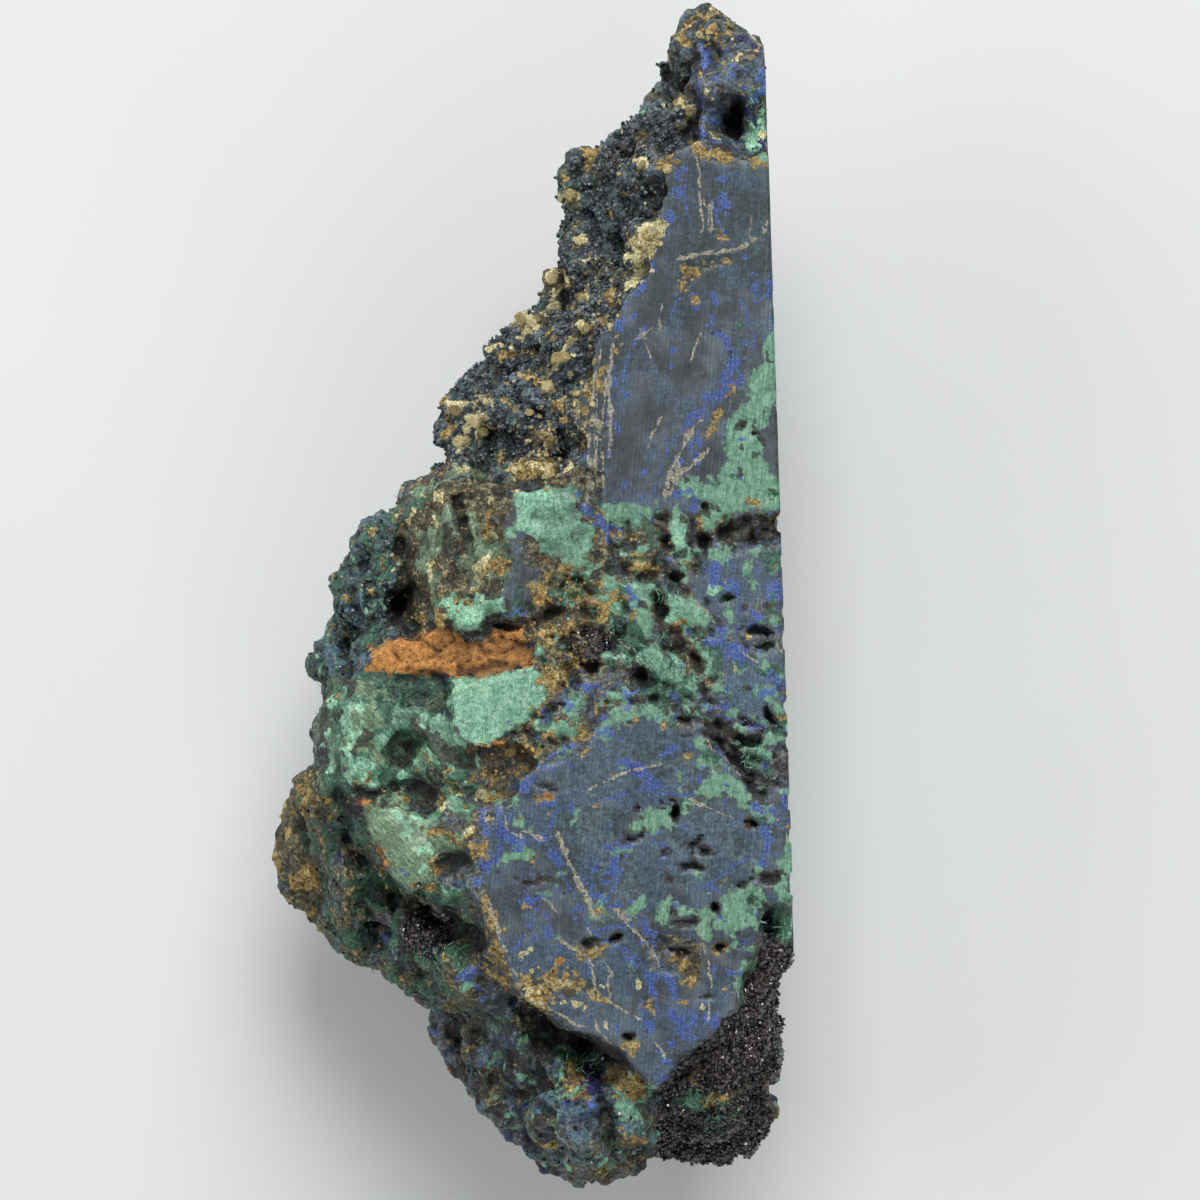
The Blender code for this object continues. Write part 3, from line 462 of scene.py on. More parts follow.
BLUE_VEIL = {
    "outlines": (
        ((700, 545), (788, 540), (790, 735), (760, 735), (730, 715), (718, 700), (720, 640), (700, 600)),
        ((505, 945), (530, 935), (560, 940), (600, 930), (625, 945), (640, 975), (620, 1000), (590, 985),
         (555, 985), (520, 978), (508, 965)),
        ((640, 855), (665, 860), (668, 885), (660, 900), (645, 885)),
        ((660, 1005), (722, 1000), (722, 1030), (700, 1045), (685, 1055), (672, 1035)),
        ((478, 812), (512, 800), (515, 850), (495, 870), (478, 880), (470, 850)),
        ((700, 50), (742, 50), (745, 150), (705, 160), (695, 110)),
        ((548, 682), (600, 676), (620, 685), (598, 700), (560, 712), (545, 718)),
        ((500, 800), (545, 795), (560, 830), (535, 870), (510, 880), (505, 830)),
        ((640, 1050), (690, 1045), (668, 1075), (655, 1088), (645, 1075)),
        ((540, 1070), (580, 1085), (600, 1105), (600, 1140), (580, 1155), (560, 1140), (545, 1105)),
        ((745, 935), (760, 930), (755, 950), (740, 960), (735, 945)),
    ),
    "streaks": (
        (((525, 787), (545, 769), (580, 751), (610, 736), (650, 727), (690, 731), (700, 748)), 24),
        (((616, 768), (640, 780), (668, 800)), 18), (((640, 805), (700, 830), (760, 805)), 14),
        (((655, 860), (700, 880), (760, 875)), 12), (((600, 500), (680, 500)), 16),
        (((560, 1003), (600, 1012), (630, 1040)), 22),
    ),
    "spots": ((465, 780, 15, 16, 0), (448, 882, 13, 14, 0), (452, 826, 12, 9, 0), (675, 1068, 10, 6, 40)),
}
OCHRE = {
    "outlines": (
        ((682, 262), (704, 268), (683, 292)), ((556, 580), (560, 563), (572, 565), (571, 578), (566, 590),
         (558, 590)),
        ((690, 141), (705, 143), (720, 150), (735, 155), (733, 165), (715, 162), (700, 158), (690, 152)),
        ((744, 157), (768, 158), (771, 164), (748, 165)),
        ((505, 470), (515, 462), (545, 457), (560, 462), (558, 475), (545, 480), (530, 478), (515, 482)),
        ((540, 628), (550, 626), (556, 640), (555, 650), (545, 648), (538, 640)),
        ((548, 666), (560, 664), (575, 668), (573, 674), (560, 676), (548, 672)),
        ((556, 630), (570, 625), (576, 632), (565, 640), (556, 636)),
        ((574, 645), (582, 642), (583, 652), (575, 655)),
        ((575, 728), (588, 725), (592, 733), (582, 740), (574, 736)),
        ((547, 735), (553, 732), (558, 740), (550, 742)),
        ((518, 742), (530, 738), (540, 748), (542, 760), (530, 757), (520, 750)),
        ((520, 765), (535, 762), (528, 775), (518, 775)),
        ((468, 850), (480, 845), (492, 845), (488, 855), (475, 858)),
        ((430, 862), (445, 863), (450, 868), (435, 870)),
        ((486, 895), (491, 897), (493, 912), (495, 930), (501, 945), (509, 965), (514, 978), (508, 980),
         (500, 968), (491, 950), (488, 930), (486, 910)),
        ((488, 956), (498, 966), (512, 990), (505, 993), (494, 979), (485, 966)),
        ((518, 985), (530, 978), (545, 980), (548, 968), (556, 966), (562, 978), (575, 980), (590, 984),
         (600, 990), (604, 1000), (597, 1003), (585, 992), (570, 990), (555, 995), (545, 1003), (530, 1004)),
        ((520, 1000), (540, 1000), (555, 1008), (566, 1019), (555, 1017), (540, 1011), (525, 1008)),
        ((579, 948), (592, 944), (608, 946), (606, 960), (590, 962), (580, 958)),
        ((620, 1039), (633, 1038), (640, 1046), (632, 1052), (624, 1048)),
        ((667, 955), (680, 950), (690, 965), (697, 975), (685, 970), (672, 962)),
        ((713, 945), (727, 946), (728, 953), (718, 958)),
        ((603, 1060), (625, 1068), (645, 1080), (648, 1092), (635, 1098), (620, 1095), (606, 1088)),
        ((565, 1058), (575, 1066), (580, 1080), (588, 1096), (578, 1099), (570, 1085), (560, 1070)),
        ((622, 1130), (632, 1138), (645, 1140), (638, 1147), (626, 1146)),
        ((700, 1105), (712, 1097), (728, 1090), (724, 1099), (706, 1112)),
        ((655, 156), (672, 154), (676, 164), (664, 172), (655, 166)),
        ((515, 1096), (520, 1090), (522, 1098)),
    ),
    "streaks": (
        (((718, 232), (730, 244)), 5), (((700, 268), (718, 262), (724, 260)), 5),
        (((735, 387), (728, 400), (713, 420), (710, 434)), 4), (((622, 345), (600, 370), (595, 400)), 4),
        (((545, 668), (549, 690), (545, 705), (533, 715), (524, 730)), 7),
        (((424, 828), (440, 832), (455, 842), (468, 846)), 5), (((592, 360), (586, 410), (584, 450)), 5),
        (((715, 8), (728, 15)), 4), (((703, 10), (700, 16)), 4),
        (((563, 1080), (570, 1092)), 5), (((530, 635), (534, 620)), 6), (((545, 560), (548, 590)), 4),
        (((535, 585), (540, 600)), 8),
    ),
    "spots": (
        (645, 568, 12, 7, 0), (695, 300, 3, 3, 0), (608, 430, 3, 3, 0), (428, 793, 6, 3, 0),
        (430, 762, 4, 4, 0), (471, 838, 5, 6, 30),
        (685, 983, 7, 3, 0), (732, 988, 3, 4, 0), (687, 1003, 5, 4, 0), (650, 1005, 5, 6, 30),
        (538, 796, 6, 3, 0),
        (538, 857, 5, 3, 0), (598, 911, 3, 6, 0), (748, 824, 4, 3, 0), (555, 1112, 3, 8, 0),
        (693, 1078, 4, 8, 20),
        (763, 1079, 6, 4, 0), (600, 605, 14, 5, 10), (620, 600, 6, 4, 0), (605, 703, 7, 4, 0),
        (690, 755, 3, 3, 0),
        (725, 1098, 4, 6, 10), (498, 928, 3, 3, 0), (757, 503, 8, 5, 0), (597, 604, 8, 3, 0),
        (585, 605, 4, 4, 0),
        (563, 650, 3, 3, 0), (300, 812, 8, 6, 30), (782, 825, 3, 3, 0), (490, 755, 8, 6, 0),
        (660, 603, 5, 4, 0),
        (678, 624, 8, 5, 30), (588, 620, 6, 4, 0), (630, 722, 4, 2, 0), (675, 724, 8, 3, 5),
        (560, 612, 5, 3, 0),
    ),
}
CREAM = {
    "outlines": (
        ((632, 232), (645, 222), (656, 217), (664, 222), (668, 228), (662, 240), (652, 252), (645, 262),
         (649, 272), (640, 280), (626, 292), (629, 280), (634, 268), (625, 258), (630, 246)),
        ((558, 191), (572, 188), (581, 195), (575, 204), (560, 203)),
        ((546, 270), (560, 267), (569, 278), (566, 296), (550, 298)),
        ((503, 312), (515, 306), (530, 308), (539, 318), (530, 328), (508, 326)),
        ((540, 379), (550, 377), (551, 392), (543, 396)),
        ((458, 416), (475, 411), (488, 416), (484, 428), (464, 428)),
        ((478, 396), (490, 393), (493, 404), (482, 410)), ((447, 402), (460, 399), (463, 412), (450, 418)),
        ((455, 437), (466, 434), (471, 445), (462, 451)), ((543, 434), (552, 432), (554, 448), (546, 453)),
        ((530, 427), (538, 424), (541, 442), (533, 451)), ((575, 293), (586, 291), (589, 299), (578, 302)),
        ((573, 238), (585, 236), (589, 244), (578, 248)), ((633, 160), (646, 158), (649, 167), (638, 169)),
    ),
    "streaks": ((((522, 337), (553, 304)), 10), (((551, 370), (566, 347)), 8),
     (((524, 992), (545, 985)), 3.5), (((552, 983), (572, 985)), 4), (((582, 989), (600, 994)), 4),
                (((514, 960), (533, 948)), 2), (((560, 1002), (590, 1010)), 4)),
    "spots": (
        (554, 337, 4, 3, 0), (571, 340, 4, 3, 0), (582, 328, 5, 8, 20), (604, 320, 4, 5, 0),
        (490, 432, 5, 3, 0),
        (645, 145, 3, 2, 0), (612, 295, 4, 3, 0), (691, 113, 4, 10, 0), (514, 466, 6, 4, 0),
        (550, 470, 9, 7, 0),
        (394, 555, 6, 5, 0), (600, 985, 4, 3, 20), (635, 245, 4, 3, 0), (607, 1028, 3, 3, 0),
        (440, 860, 5, 3, 0), (700, 1008, 3, 3, 0), (640, 985, 3, 6, -20), (455, 790, 8, 4, 0),
        (480, 795, 7, 6, 0), (440, 802, 6, 8, 0), (490, 818, 5, 4, 0), (500, 775, 4, 3, 0),
        (470, 830, 4, 4, 0),
    ),
}
TAN_VEINS = {
    "outlines": (),
    "streaks": (
        (((697, 160), (700, 175), (699, 190), (703, 212), (703, 230)), 4), (((711, 203), (712, 230)), 3),
        (((680, 259), (700, 256), (720, 252), (735, 250), (743, 247), (753, 240)), 6),
        (((700, 420), (685, 435)), 3), (((706, 452), (700, 458), (690, 466), (680, 472), (672, 486),
          (665, 498)), 6),
        (((587, 420), (589, 470), (588, 498)), 4), (((610, 390), (612, 415), (610, 455)), 3),
        (((558, 834), (568, 860), (580, 885), (590, 905), (598, 918)), 7), (((607, 965), (610, 995)), 3),
        (((610, 1000), (640, 1020)), 3), (((615, 908), (635, 917)), 3),
        (((617, 912), (628, 925), (645, 941)), 4),
        (((648, 944), (658, 962)), 4), (((595, 1022), (607, 1041)), 4), (((657, 1045), (664, 1056)), 4),
        (((525, 831), (541, 839)), 4), (((505, 817), (510, 832), (520, 837)), 3),
        (((545, 900), (555, 909)), 6),
        (((750, 218), (750, 238)), 2), (((763, 228), (763, 241)), 2), (((490, 903), (500, 935)), 5),
        (((697, 604), (715, 620)), 4),
        (((706, 738), (712, 748)), 3), (((725, 758), (740, 775)), 3), (((733, 664), (737, 672)), 3),
        (((745, 655), (757, 660)), 3), (((588, 930), (612, 975)), 3), (((620, 640), (640, 660)), 2),
        (((500, 938), (512, 965), (520, 985)), 3), (((535, 1000), (566, 1018), (582, 1027)), 4),
        (((700, 335), (690, 360)), 2), (((640, 330), (652, 356)), 2),
        (((600, 350), (592, 400), (590, 450), (592, 492)), 3),
        (((606, 380), (602, 430), (603, 486)), 2), (((597, 400), (595, 480)), 2),
        (((578, 400), (576, 450)), 3),
        (((662, 306), (658, 333)), 3), (((635, 340), (650, 329)), 3), (((768, 224), (766, 235)), 3),
        (((613, 344), (606, 396), (591, 486)), 4),
        (((609, 374), (612, 441)), 3), (((692, 433), (673, 467), (663, 497)), 4),
        (((660, 420), (648, 446)), 3), (((690, 800), (730, 818)), 3),
        (((590, 790), (630, 770), (660, 765)), 3), (((560, 940), (590, 960), (596, 990)), 4),
        (((700, 930), (712, 985), (708, 1020)), 3),
    ),
    "spots": (),
}
BLUE_HAIRLINES = {
    "outlines": (),
    "streaks": (
        (((686, 170), (684, 200), (690, 225)), 3), (((655, 240), (662, 222), (668, 232)), 3),
        (((712, 200), (722, 232), (735, 246)), 3),
        (((640, 330), (628, 360), (620, 392)), 3), (((668, 330), (676, 300), (700, 290)), 3),
        (((740, 300), (752, 330), (756, 352)), 3),
        (((690, 421), (672, 440), (660, 470), (654, 492)), 3), (((718, 400), (700, 428), (690, 450)), 3),
        (((575, 800), (556, 812), (548, 830)), 3),
        (((600, 800), (640, 790), (690, 796)), 3), (((560, 870), (590, 930), (640, 960), (660, 1010)), 3),
        (((700, 890), (730, 870), (760, 850)), 3),
        (((620, 880), (600, 905), (570, 912)), 3), (((540, 905), (530, 930), (512, 950)), 3),
        (((660, 960), (680, 1000), (684, 1030)), 3),
        (((640, 1000), (650, 1040), (662, 1060)), 3), (((600, 930), (640, 925), (660, 940)), 3),
        (((730, 560), (740, 600), (736, 650)), 3),
    ),
    "spots": (),
}
RUST = {
    "outlines": (RUST_LEDGE, ((535, 590), (560, 600), (548, 606), (533, 604))),
    "streaks": ((((560, 958), (566, 985)), 4), (((543, 795), (552, 795)), 5), (((380, 848), (384, 866)), 4)),
    "spots": ((500, 745, 6, 5, 0), (525, 752, 9, 5, 10), (590, 618, 8, 5, 0), (570, 500, 3, 2, 0),
     (668, 163, 5, 4, 0),
              (362, 802, 8, 4, 0), (433, 640, 8, 8, 0), (640, 1142, 8, 4, 0), (370, 779, 3, 3, 0)),
}
# Brown-black earth and nodules, and painted shade in pits, crevices, hollows and under ledge edges
DARK_EARTH_AND_PAINTED_SHADE = {
    "outlines": (
        ((722, 97), (735, 93), (742, 100), (741, 115), (738, 132), (728, 142), (720, 130), (722, 112)),
        ((657, 515), (669, 513), (667, 530), (672, 550), (662, 547)),
        ((692, 517), (698, 524), (694, 545), (680, 553), (688, 540)),
        ((715, 530), (740, 516), (765, 518), (785, 522), (786, 535), (770, 545), (745, 542), (722, 545)),
        ((497, 618), (512, 622), (530, 618), (545, 607), (575, 605), (578, 612), (560, 618), (530, 625),
         (500, 626)),
        ((650, 585), (660, 590), (665, 600), (660, 610), (664, 620), (672, 632), (685, 645), (695, 652),
         (706, 660), (700, 666), (690, 656), (678, 650), (668, 640), (658, 628), (652, 612), (655, 600)),
        ((632, 668), (640, 664), (651, 672), (646, 683), (638, 684), (632, 676)),
        ((700, 680), (707, 678), (704, 690), (712, 698), (718, 706), (712, 709), (703, 698), (698, 690)),
        ((703, 722), (718, 718), (730, 722), (736, 732), (734, 742), (740, 752), (748, 762), (760, 772),
         (773, 780), (768, 787), (755, 781), (742, 773), (730, 763), (722, 752), (715, 742), (706, 735)),
        ((742, 732), (758, 735), (765, 728), (760, 741), (748, 739)),
        ((762, 705), (770, 712), (779, 722), (772, 727), (764, 717)),
        ((680, 718), (692, 717), (690, 726), (680, 724)),
        ((484, 768), (491, 760), (500, 762), (503, 770), (497, 777), (488, 776)),
        
        ((624, 834), (632, 837), (645, 830), (645, 838), (636, 843), (626, 841)),
        ((671, 918), (698, 918), (698, 925), (685, 927), (675, 924)),
        ((758, 872), (783, 870), (785, 878), (775, 885), (760, 884)),
        ((764, 900), (770, 905), (766, 920), (762, 930), (761, 912)),
        ((516, 878), (530, 880), (545, 877), (552, 880), (525, 884)),
        ((580, 942), (592, 936), (605, 938), (600, 945), (585, 949)),
        ((667, 945), (680, 948), (692, 950), (690, 955), (675, 952)),
        ((525, 1009), (545, 1016), (570, 1031), (600, 1041), (622, 1054), (615, 1063), (590, 1055),
         (560, 1045), (535, 1030)),
        ((455, 500), (462, 515), (470, 530), (466, 552), (458, 540), (452, 520)),
        ((387, 600), (400, 580), (415, 590), (416, 620), (400, 636), (388, 630)),
        ((445, 612), (460, 633), (480, 632), (490, 628), (484, 638), (465, 638), (448, 626)),
        ((345, 800), (362, 797), (362, 815), (350, 822)),
        ((358, 793), (395, 788), (438, 785), (436, 788), (398, 792), (360, 796)),
        ((700, 500), (715, 505), (712, 515), (700, 512)),
        ((740, 776), (755, 782), (770, 790), (766, 800), (752, 798)),
    ),
    "streaks": ((((390, 752), (402, 744), (412, 752), (402, 764), (394, 760)), 11),
     (((676, 806), (676, 820)), 8), (((541, 784), (556, 790)), 3), (((600, 860), (603, 862)), 2),
                (((738, 886), (752, 878)), 5), (((690, 845), (700, 840)), 5), (((700, 848), (710, 852)), 4),
                (((684, 866), (703, 868)), 5), (((692, 852), (696, 862)), 6), (((704, 662), (698, 676)), 4),
                (((735, 955), (738, 945)), 4), (((660, 935), (672, 945)), 4), (((700, 998), (712, 996)), 4),
                (((560, 992), (575, 995)), 2), (((630, 700), (660, 696)), 3), (((640, 640), (668, 655)), 2)),
    "spots": ((728, 598, 5, 3, 35), (677, 577, 7, 6, 0), (704, 541, 6, 10, 0), (592, 666, 10, 6, 0),
     (617, 938, 6, 4, 0),
              (721, 945, 7, 3, 0), (628, 1036, 8, 4, 0), (752, 824, 8, 3, 0), (715, 907, 5, 5, 0),
              (742, 426, 5, 3, 0),
              (755, 432, 6, 3, 0), (771, 495, 3, 3, 0), (697, 842, 7, 4, 0), (662, 852, 6, 4, 0),
              (668, 878, 5, 3, 0),
              (552, 287, 5, 4, 0), (640, 605, 3, 3, 0), (672, 912, 3, 2, 0), (638, 808, 4, 4, 0),
              (672, 800, 4, 3, 0)),
}
DEEP_GREEN = {
    "outlines": (
        ((620, 590), (648, 640), (630, 665), (610, 640), (625, 622)),
        ((640, 665), (700, 700), (650, 705), (640, 690)),
        ((736, 748), (768, 760), (774, 779), (740, 764)), ((752, 92), (762, 90), (764, 122), (754, 118)),
        ((766, 905), (790, 905), (790, 945), (764, 930)),
        ((316, 772), (345, 772), (345, 800), (330, 806), (316, 795)),
        ((345, 820), (362, 812), (375, 840), (350, 832)),
        ((356, 671), (392, 670), (430, 672), (455, 680), (456, 704), (440, 713), (420, 706), (395, 703),
         (372, 708), (352, 694)), ((320, 830), (345, 832), (340, 858), (325, 850)),
        ((770, 710), (790, 722), (780, 735), (766, 728)), ((555, 575), (592, 575), (590, 602), (560, 602)),
        ((552, 1040), (600, 1045), (595, 1078), (560, 1072)),
        ((672, 1085), (708, 1085), (706, 1112), (672, 1112)),
        ((705, 1100), (742, 1100), (735, 1135), (705, 1138)),
        ((390, 880), (415, 880), (440, 895), (415, 900), (400, 892)),
        ((410, 945), (450, 950), (440, 975), (405, 960)), ((705, 750), (725, 755), (722, 770), (706, 768)),
    ),
    "streaks": (), "spots": ((752, 900, 5, 8, 0), (724, 700, 8, 6, 0), (365, 905, 8, 5, 30),
     (612, 1140, 10, 6, 0)),
}
OLIVE_EARTH = {
    "outlines": (
        ((398, 505), (420, 478), (445, 466), (470, 470), (500, 480), (512, 495), (505, 520), (508, 560),
         (504, 590), (470, 597), (440, 598), (420, 612), (402, 600), (405, 575), (398, 550), (405, 525)),
        ((315, 838), (380, 845), (385, 900), (330, 900)),
        ((440, 775), (515, 778), (515, 800), (470, 845), (440, 830), (425, 800)),
        ((440, 945), (480, 940), (485, 1000), (455, 1005), (442, 985)),
        ((540, 1150), (665, 1150), (665, 1190), (560, 1190)),
        ((500, 620), (600, 600), (625, 640), (600, 700), (540, 680), (535, 640)),
        ((500, 738), (560, 700), (600, 720), (590, 750), (540, 768), (510, 770)),
        ((735, 625), (790, 622), (790, 650), (745, 655)),
        ((650, 590), (710, 640), (715, 680), (660, 650)),
        ((550, 455), (605, 470), (600, 600), (560, 610), (520, 545)),
        ((640, 936), (700, 940), (700, 980), (660, 970)), ((755, 930), (785, 935), (780, 990), (750, 985)),
        ((610, 1055), (660, 1095), (655, 1145), (612, 1145)),
        ((460, 850), (480, 848), (480, 895), (462, 890)),
    ),
    "streaks": ((((440, 795), (400, 800), (365, 803)), 12),),
    "spots": ((345, 760, 10, 18, 10), (384, 706, 16, 10, 0), (405, 755, 19, 26, 0), (640, 570, 20, 18, 0)),
}
BLUE_GREEN_KIDNEY = {
    "outlines": (
        ((316, 690), (318, 640), (331, 615), (336, 590), (346, 556), (366, 526), (386, 508), (402, 520),
         (400, 550), (395, 575), (385, 590), (385, 640), (370, 655), (365, 668), (345, 682), (325, 690)),
        ((450, 440), (500, 440), (505, 465), (460, 465)),
    ),
    "streaks": (), "spots": ((330, 850, 10, 20, 0),),
}
DARK_DRUSE = {
    "outlines": (
        ((402, 920), (418, 908), (448, 912), (458, 928), (446, 950), (424, 964), (402, 948)),
        ((700, 1045), (722, 1016), (738, 1010), (740, 996), (757, 960), (762, 930), (795, 945), (785, 1000),
         (788, 1070), (768, 1085), (740, 1090), (700, 1095), (670, 1105), (655, 1090), (680, 1062)),
        ((655, 1095), (700, 1110), (770, 1080), (775, 1130), (740, 1170), (655, 1165)),
        ((562, 632), (582, 624), (612, 628), (618, 648), (590, 662), (566, 652)),
    ),
    "streaks": (), "spots": ((760, 740, 14, 6, -80), (776, 765, 12, 18, 0), (745, 720, 12, 8, 0)),
}
BLUE_SLATE = {
    "outlines": (
        ((545, 792), (560, 770), (600, 745), (650, 731), (695, 734), (706, 760), (702, 786), (650, 806),
         (625, 832), (618, 862), (600, 884), (575, 852), (558, 834), (546, 815)),
        ((640, 838), (700, 802), (750, 800), (778, 830), (772, 870), (700, 882), (650, 902), (625, 906),
         (608, 890), (620, 860)),
        ((700, 620), (760, 640), (785, 690), (765, 735), (725, 715), (718, 660)),
        ((510, 540), (526, 540), (524, 612), (510, 612)),
        ((725, 50), (765, 50), (765, 85), (740, 90)), ((540, 683), (600, 676), (620, 684), (560, 708)),
    ),
    "streaks": (), "spots": (),
}
TEAL_SLATE = {
    "outlines": (
        ((668, 165), (776, 165), (778, 300), (720, 296), (690, 330), (650, 300), (668, 230)),
        ((600, 320), (640, 330), (612, 400), (597, 480), (588, 420)),
        ((640, 860), (668, 862), (664, 900), (640, 890)),
        ((560, 200), (640, 170), (640, 260), (570, 260)),
    ),
    "streaks": (), "spots": (),
}
PALE_MINT = {
    "outlines": (
        PALE_MALACHITE,
        PALE_PATCH,
        ((515, 490), (532, 492), (548, 487), (552, 500), (545, 520), (540, 545), (528, 535), (512, 536),
         (518, 515)),
        ((672, 522), (682, 524), (688, 545), (676, 548)), ((706, 582), (718, 586), (718, 602), (708, 596)),
    ),
    "streaks": (
        (((332, 702), (326, 735), (332, 768)), 5), (((344, 700), (350, 738), (352, 772)), 6),
        (((360, 706), (362, 730)), 4), (((360, 752), (368, 782)), 7),
        (((408, 702), (424, 714), (444, 722)), 5),
        (((440, 716), (456, 742), (450, 766)), 5), (((420, 726), (440, 745)), 4),
        (((748, 130), (762, 120)), 5),
        (((750, 145), (763, 140)), 5), (((752, 100), (764, 108)), 4),
        (((392, 808), (412, 838), (424, 868)), 6), (((408, 806), (428, 836), (434, 858)), 4),
    ),
    "spots": ((585, 655, 5, 3, 0), (620, 655, 5, 4, 0), (700, 612, 6, 3, 20), (540, 500, 10, 6, 0)),
}
SILKY_GREEN = {"outlines": (FIBROUS_FRAGMENT, ((345, 706), (372, 704), (386, 724), (370, 735), (352, 728))),
               "streaks": (), "spots": ()}
MINERALS = {
    "blue_slate": BLUE_SLATE, "teal_slate": TEAL_SLATE, "olive_earth": OLIVE_EARTH,
    "blue_green_kidney": BLUE_GREEN_KIDNEY, "dark_druse": DARK_DRUSE,
    "deep_green": DEEP_GREEN, "blue_veil": BLUE_VEIL, "malachite": MALACHITE, "silky_green": SILKY_GREEN,
    "pale_mint": PALE_MINT, "indigo": INDIGO_AZURITE,
    "bright_azurite": BRIGHT_AZURITE, "blue_hairlines": BLUE_HAIRLINES, "rust": RUST, "ochre": OCHRE,
    "tan_veins": TAN_VEINS,
    "cream": CREAM, "dark": DARK_EARTH_AND_PAINTED_SHADE,
}
# How much of the unseen back and sides each mineral takes, as a level that a smooth noise has to pass
BACK_SHARES = {
    "blue_slate": (9.0, 0.10), "teal_slate": (9.0, 0.05), "tan_veins": (2.0, 0.60),
    "blue_hairlines": (2.0, 0.60),
    "olive_earth": (7.0, 0.10), "blue_green_kidney": (9.0, 0.12), "dark_druse": (8.0, 0.16),
    "deep_green": (5.0, 0.30),
    "blue_veil": (6.0, 0.12), "malachite": (6.5, 0.30), "silky_green": (4.0, 0.46), "pale_mint": (3.0, 0.50),
    "indigo": (4.0, 0.48), "bright_azurite": (3.2, 0.50),
    "rust": (5.0, 0.56), "ochre": (3.6, 0.46), "cream": (2.6, 0.52), "dark": (2.4, 0.50),
}
FARTHEST_MM = 3.0

MOUND_OUTLINE = (
    (398, 468), (445, 460), (512, 492), (508, 590), (470, 600), (430, 635), (398, 610),
)
OLIVE_MOUND = {"outlines": (MOUND_OUTLINE,), "streaks": (), "spots": ()}
# Where beads grow on the crust: outline, how strongly. Elsewhere it is BEAD_BASE.
BEAD_BASE = 0.5
BEAD_ZONES = (
    (((700, 0), (735, 10), (690, 100), (665, 180), (655, 250), (600, 340), (583, 480), (430, 480),
      (430, 380), (540, 200)), 1.0),
    (((400, 500), (405, 575), (385, 640), (365, 670), (300, 690), (300, 560), (380, 495)), 1.0),
    (((335, 790), (350, 800), (400, 900), (470, 950), (450, 1010), (345, 985)), 0.8),
    (((430, 1020), (540, 1050), (660, 1090), (790, 1050), (790, 1190), (430, 1190)), 0.8),
)
# How densely small loose beads lie in the first of these stretches
BEAD_DENSITIES = (1.0, 0.25)
# The band across the sawn face that the saw left broken
BROKEN_BAND = (
    (500, 600), (560, 560), (600, 590), (606, 518), (660, 510), (700, 540), (716, 518), (800, 518),
    (800, 545), (745, 550), (705, 560), (712, 620), (722, 700), (760, 725), (800, 735), (800, 800),
    (760, 795), (700, 738), (640, 706), (600, 702), (560, 745), (520, 768), (500, 745), (540, 680),
    (505, 640),
)
# How deep the saw tore out each soft mineral, and some places of the sawn face, in mm
TORN_DEPTHS = {"dark": 0.8, "olive_earth": 0.40, "ochre": 0.25, "deep_green": 0.55, "rust": 0.25}
TORN_PLACES = (
    (((608, 520), (632, 520), (640, 552), (612, 556)), 0.7),
    (((742, 516), (790, 518), (790, 548), (745, 545)), 0.9),
)
# Narrow crevices of the natural surface and at the foot of the plate: line, width, depth in mm
CREVICES = (
    (((456, 496), (461, 515), (468, 532), (464, 556)), 9, 2.4),
    (((404, 520), (402, 550), (410, 580), (402, 606)), 10, 2.0),
    (((388, 600), (402, 610), (412, 628)), 20, 2.2),
    (((352, 795), (400, 789), (438, 786), (470, 792)), 7, 1.4),
    (((336, 790), (346, 815), (350, 850), (372, 868)), 12, 2.0),
    (((384, 872), (402, 900), (430, 906), (452, 912)), 12, 2.2),
    (((345, 585), (352, 605), (345, 630), (352, 655)), 8, 1.6),
    (((366, 560), (372, 585), (360, 625)), 7, 1.5),
    (((330, 628), (345, 622)), 6, 1.2), (((512, 612), (540, 610), (575, 608)), 9, 1.6),
    (((585, 210), (600, 235), (630, 250)), 8, 1.8), (((560, 300), (580, 315), (600, 310)), 7, 1.5),
    (((520, 350), (545, 355), (560, 345)), 7, 1.5), (((500, 395), (525, 400), (545, 415)), 7, 1.5),
    (((560, 420), (566, 450), (556, 470)), 6, 1.1), (((620, 150), (640, 175), (652, 200)), 8, 1.7),
    (((668, 70), (690, 90), (699, 110), (692, 135)), 14, 2.2), (((480, 415), (492, 440), (486, 462)), 7, 1.5),
    (((512, 1000), (545, 1018), (590, 1040), (625, 1062), (650, 1092)), 9, 2.0),
    (((655, 1095), (668, 1085), (690, 1070), (702, 1060)), 7, 1.2),
    (((600, 1100), (612, 1125), (610, 1145)), 7, 1.7),
    (((540, 1100), (552, 1120), (548, 1140)), 7, 1.5), (((655, 1110), (668, 1130), (680, 1150)), 7, 1.5),
    (((395, 920), (420, 926), (445, 922)), 8, 1.6), (((360, 905), (375, 925), (380, 950)), 8, 1.6),
)
# Round nodules that fill some hollows: (u, v, depth of the crown in mm, radius in mm)
NODULES = (
    (620, 546, 0.7, 1.25), (646, 543, 0.8, 0.9), (661, 531, 1.0, 1.1), (642, 566, 0.5, 1.4),
    (704, 541, 0.3, 0.85),
    (677, 577, 0.3, 0.65), (741, 523, 0.8, 0.75), (764, 533, 0.8, 1.5), (592, 657, 0.5, 0.7),
    (686, 507, 0.2, 0.8),
)
# Depth of the crags on the natural surface in mm: outline, rise. Elsewhere it is CRAG_BASE.
CRAG_SIZE = 0.0030
CRAG_BASE = 0.6
CRAG_ZONES = (
    (MOUND_OUTLINE, 1.9),
    (((335, 800), (350, 800), (380, 870), (470, 900), (450, 1010), (345, 985)), 1.7),
    (((700, 0), (770, 20), (700, 60), (690, 100), (680, 140), (640, 140), (660, 60)), 1.5),
    (((430, 1020), (540, 1020), (660, 1090), (790, 1040), (790, 1190), (430, 1190)), 1.4),
    (((500, 600), (600, 600), (630, 640), (600, 700), (545, 680), (500, 640)), 1.2),
)
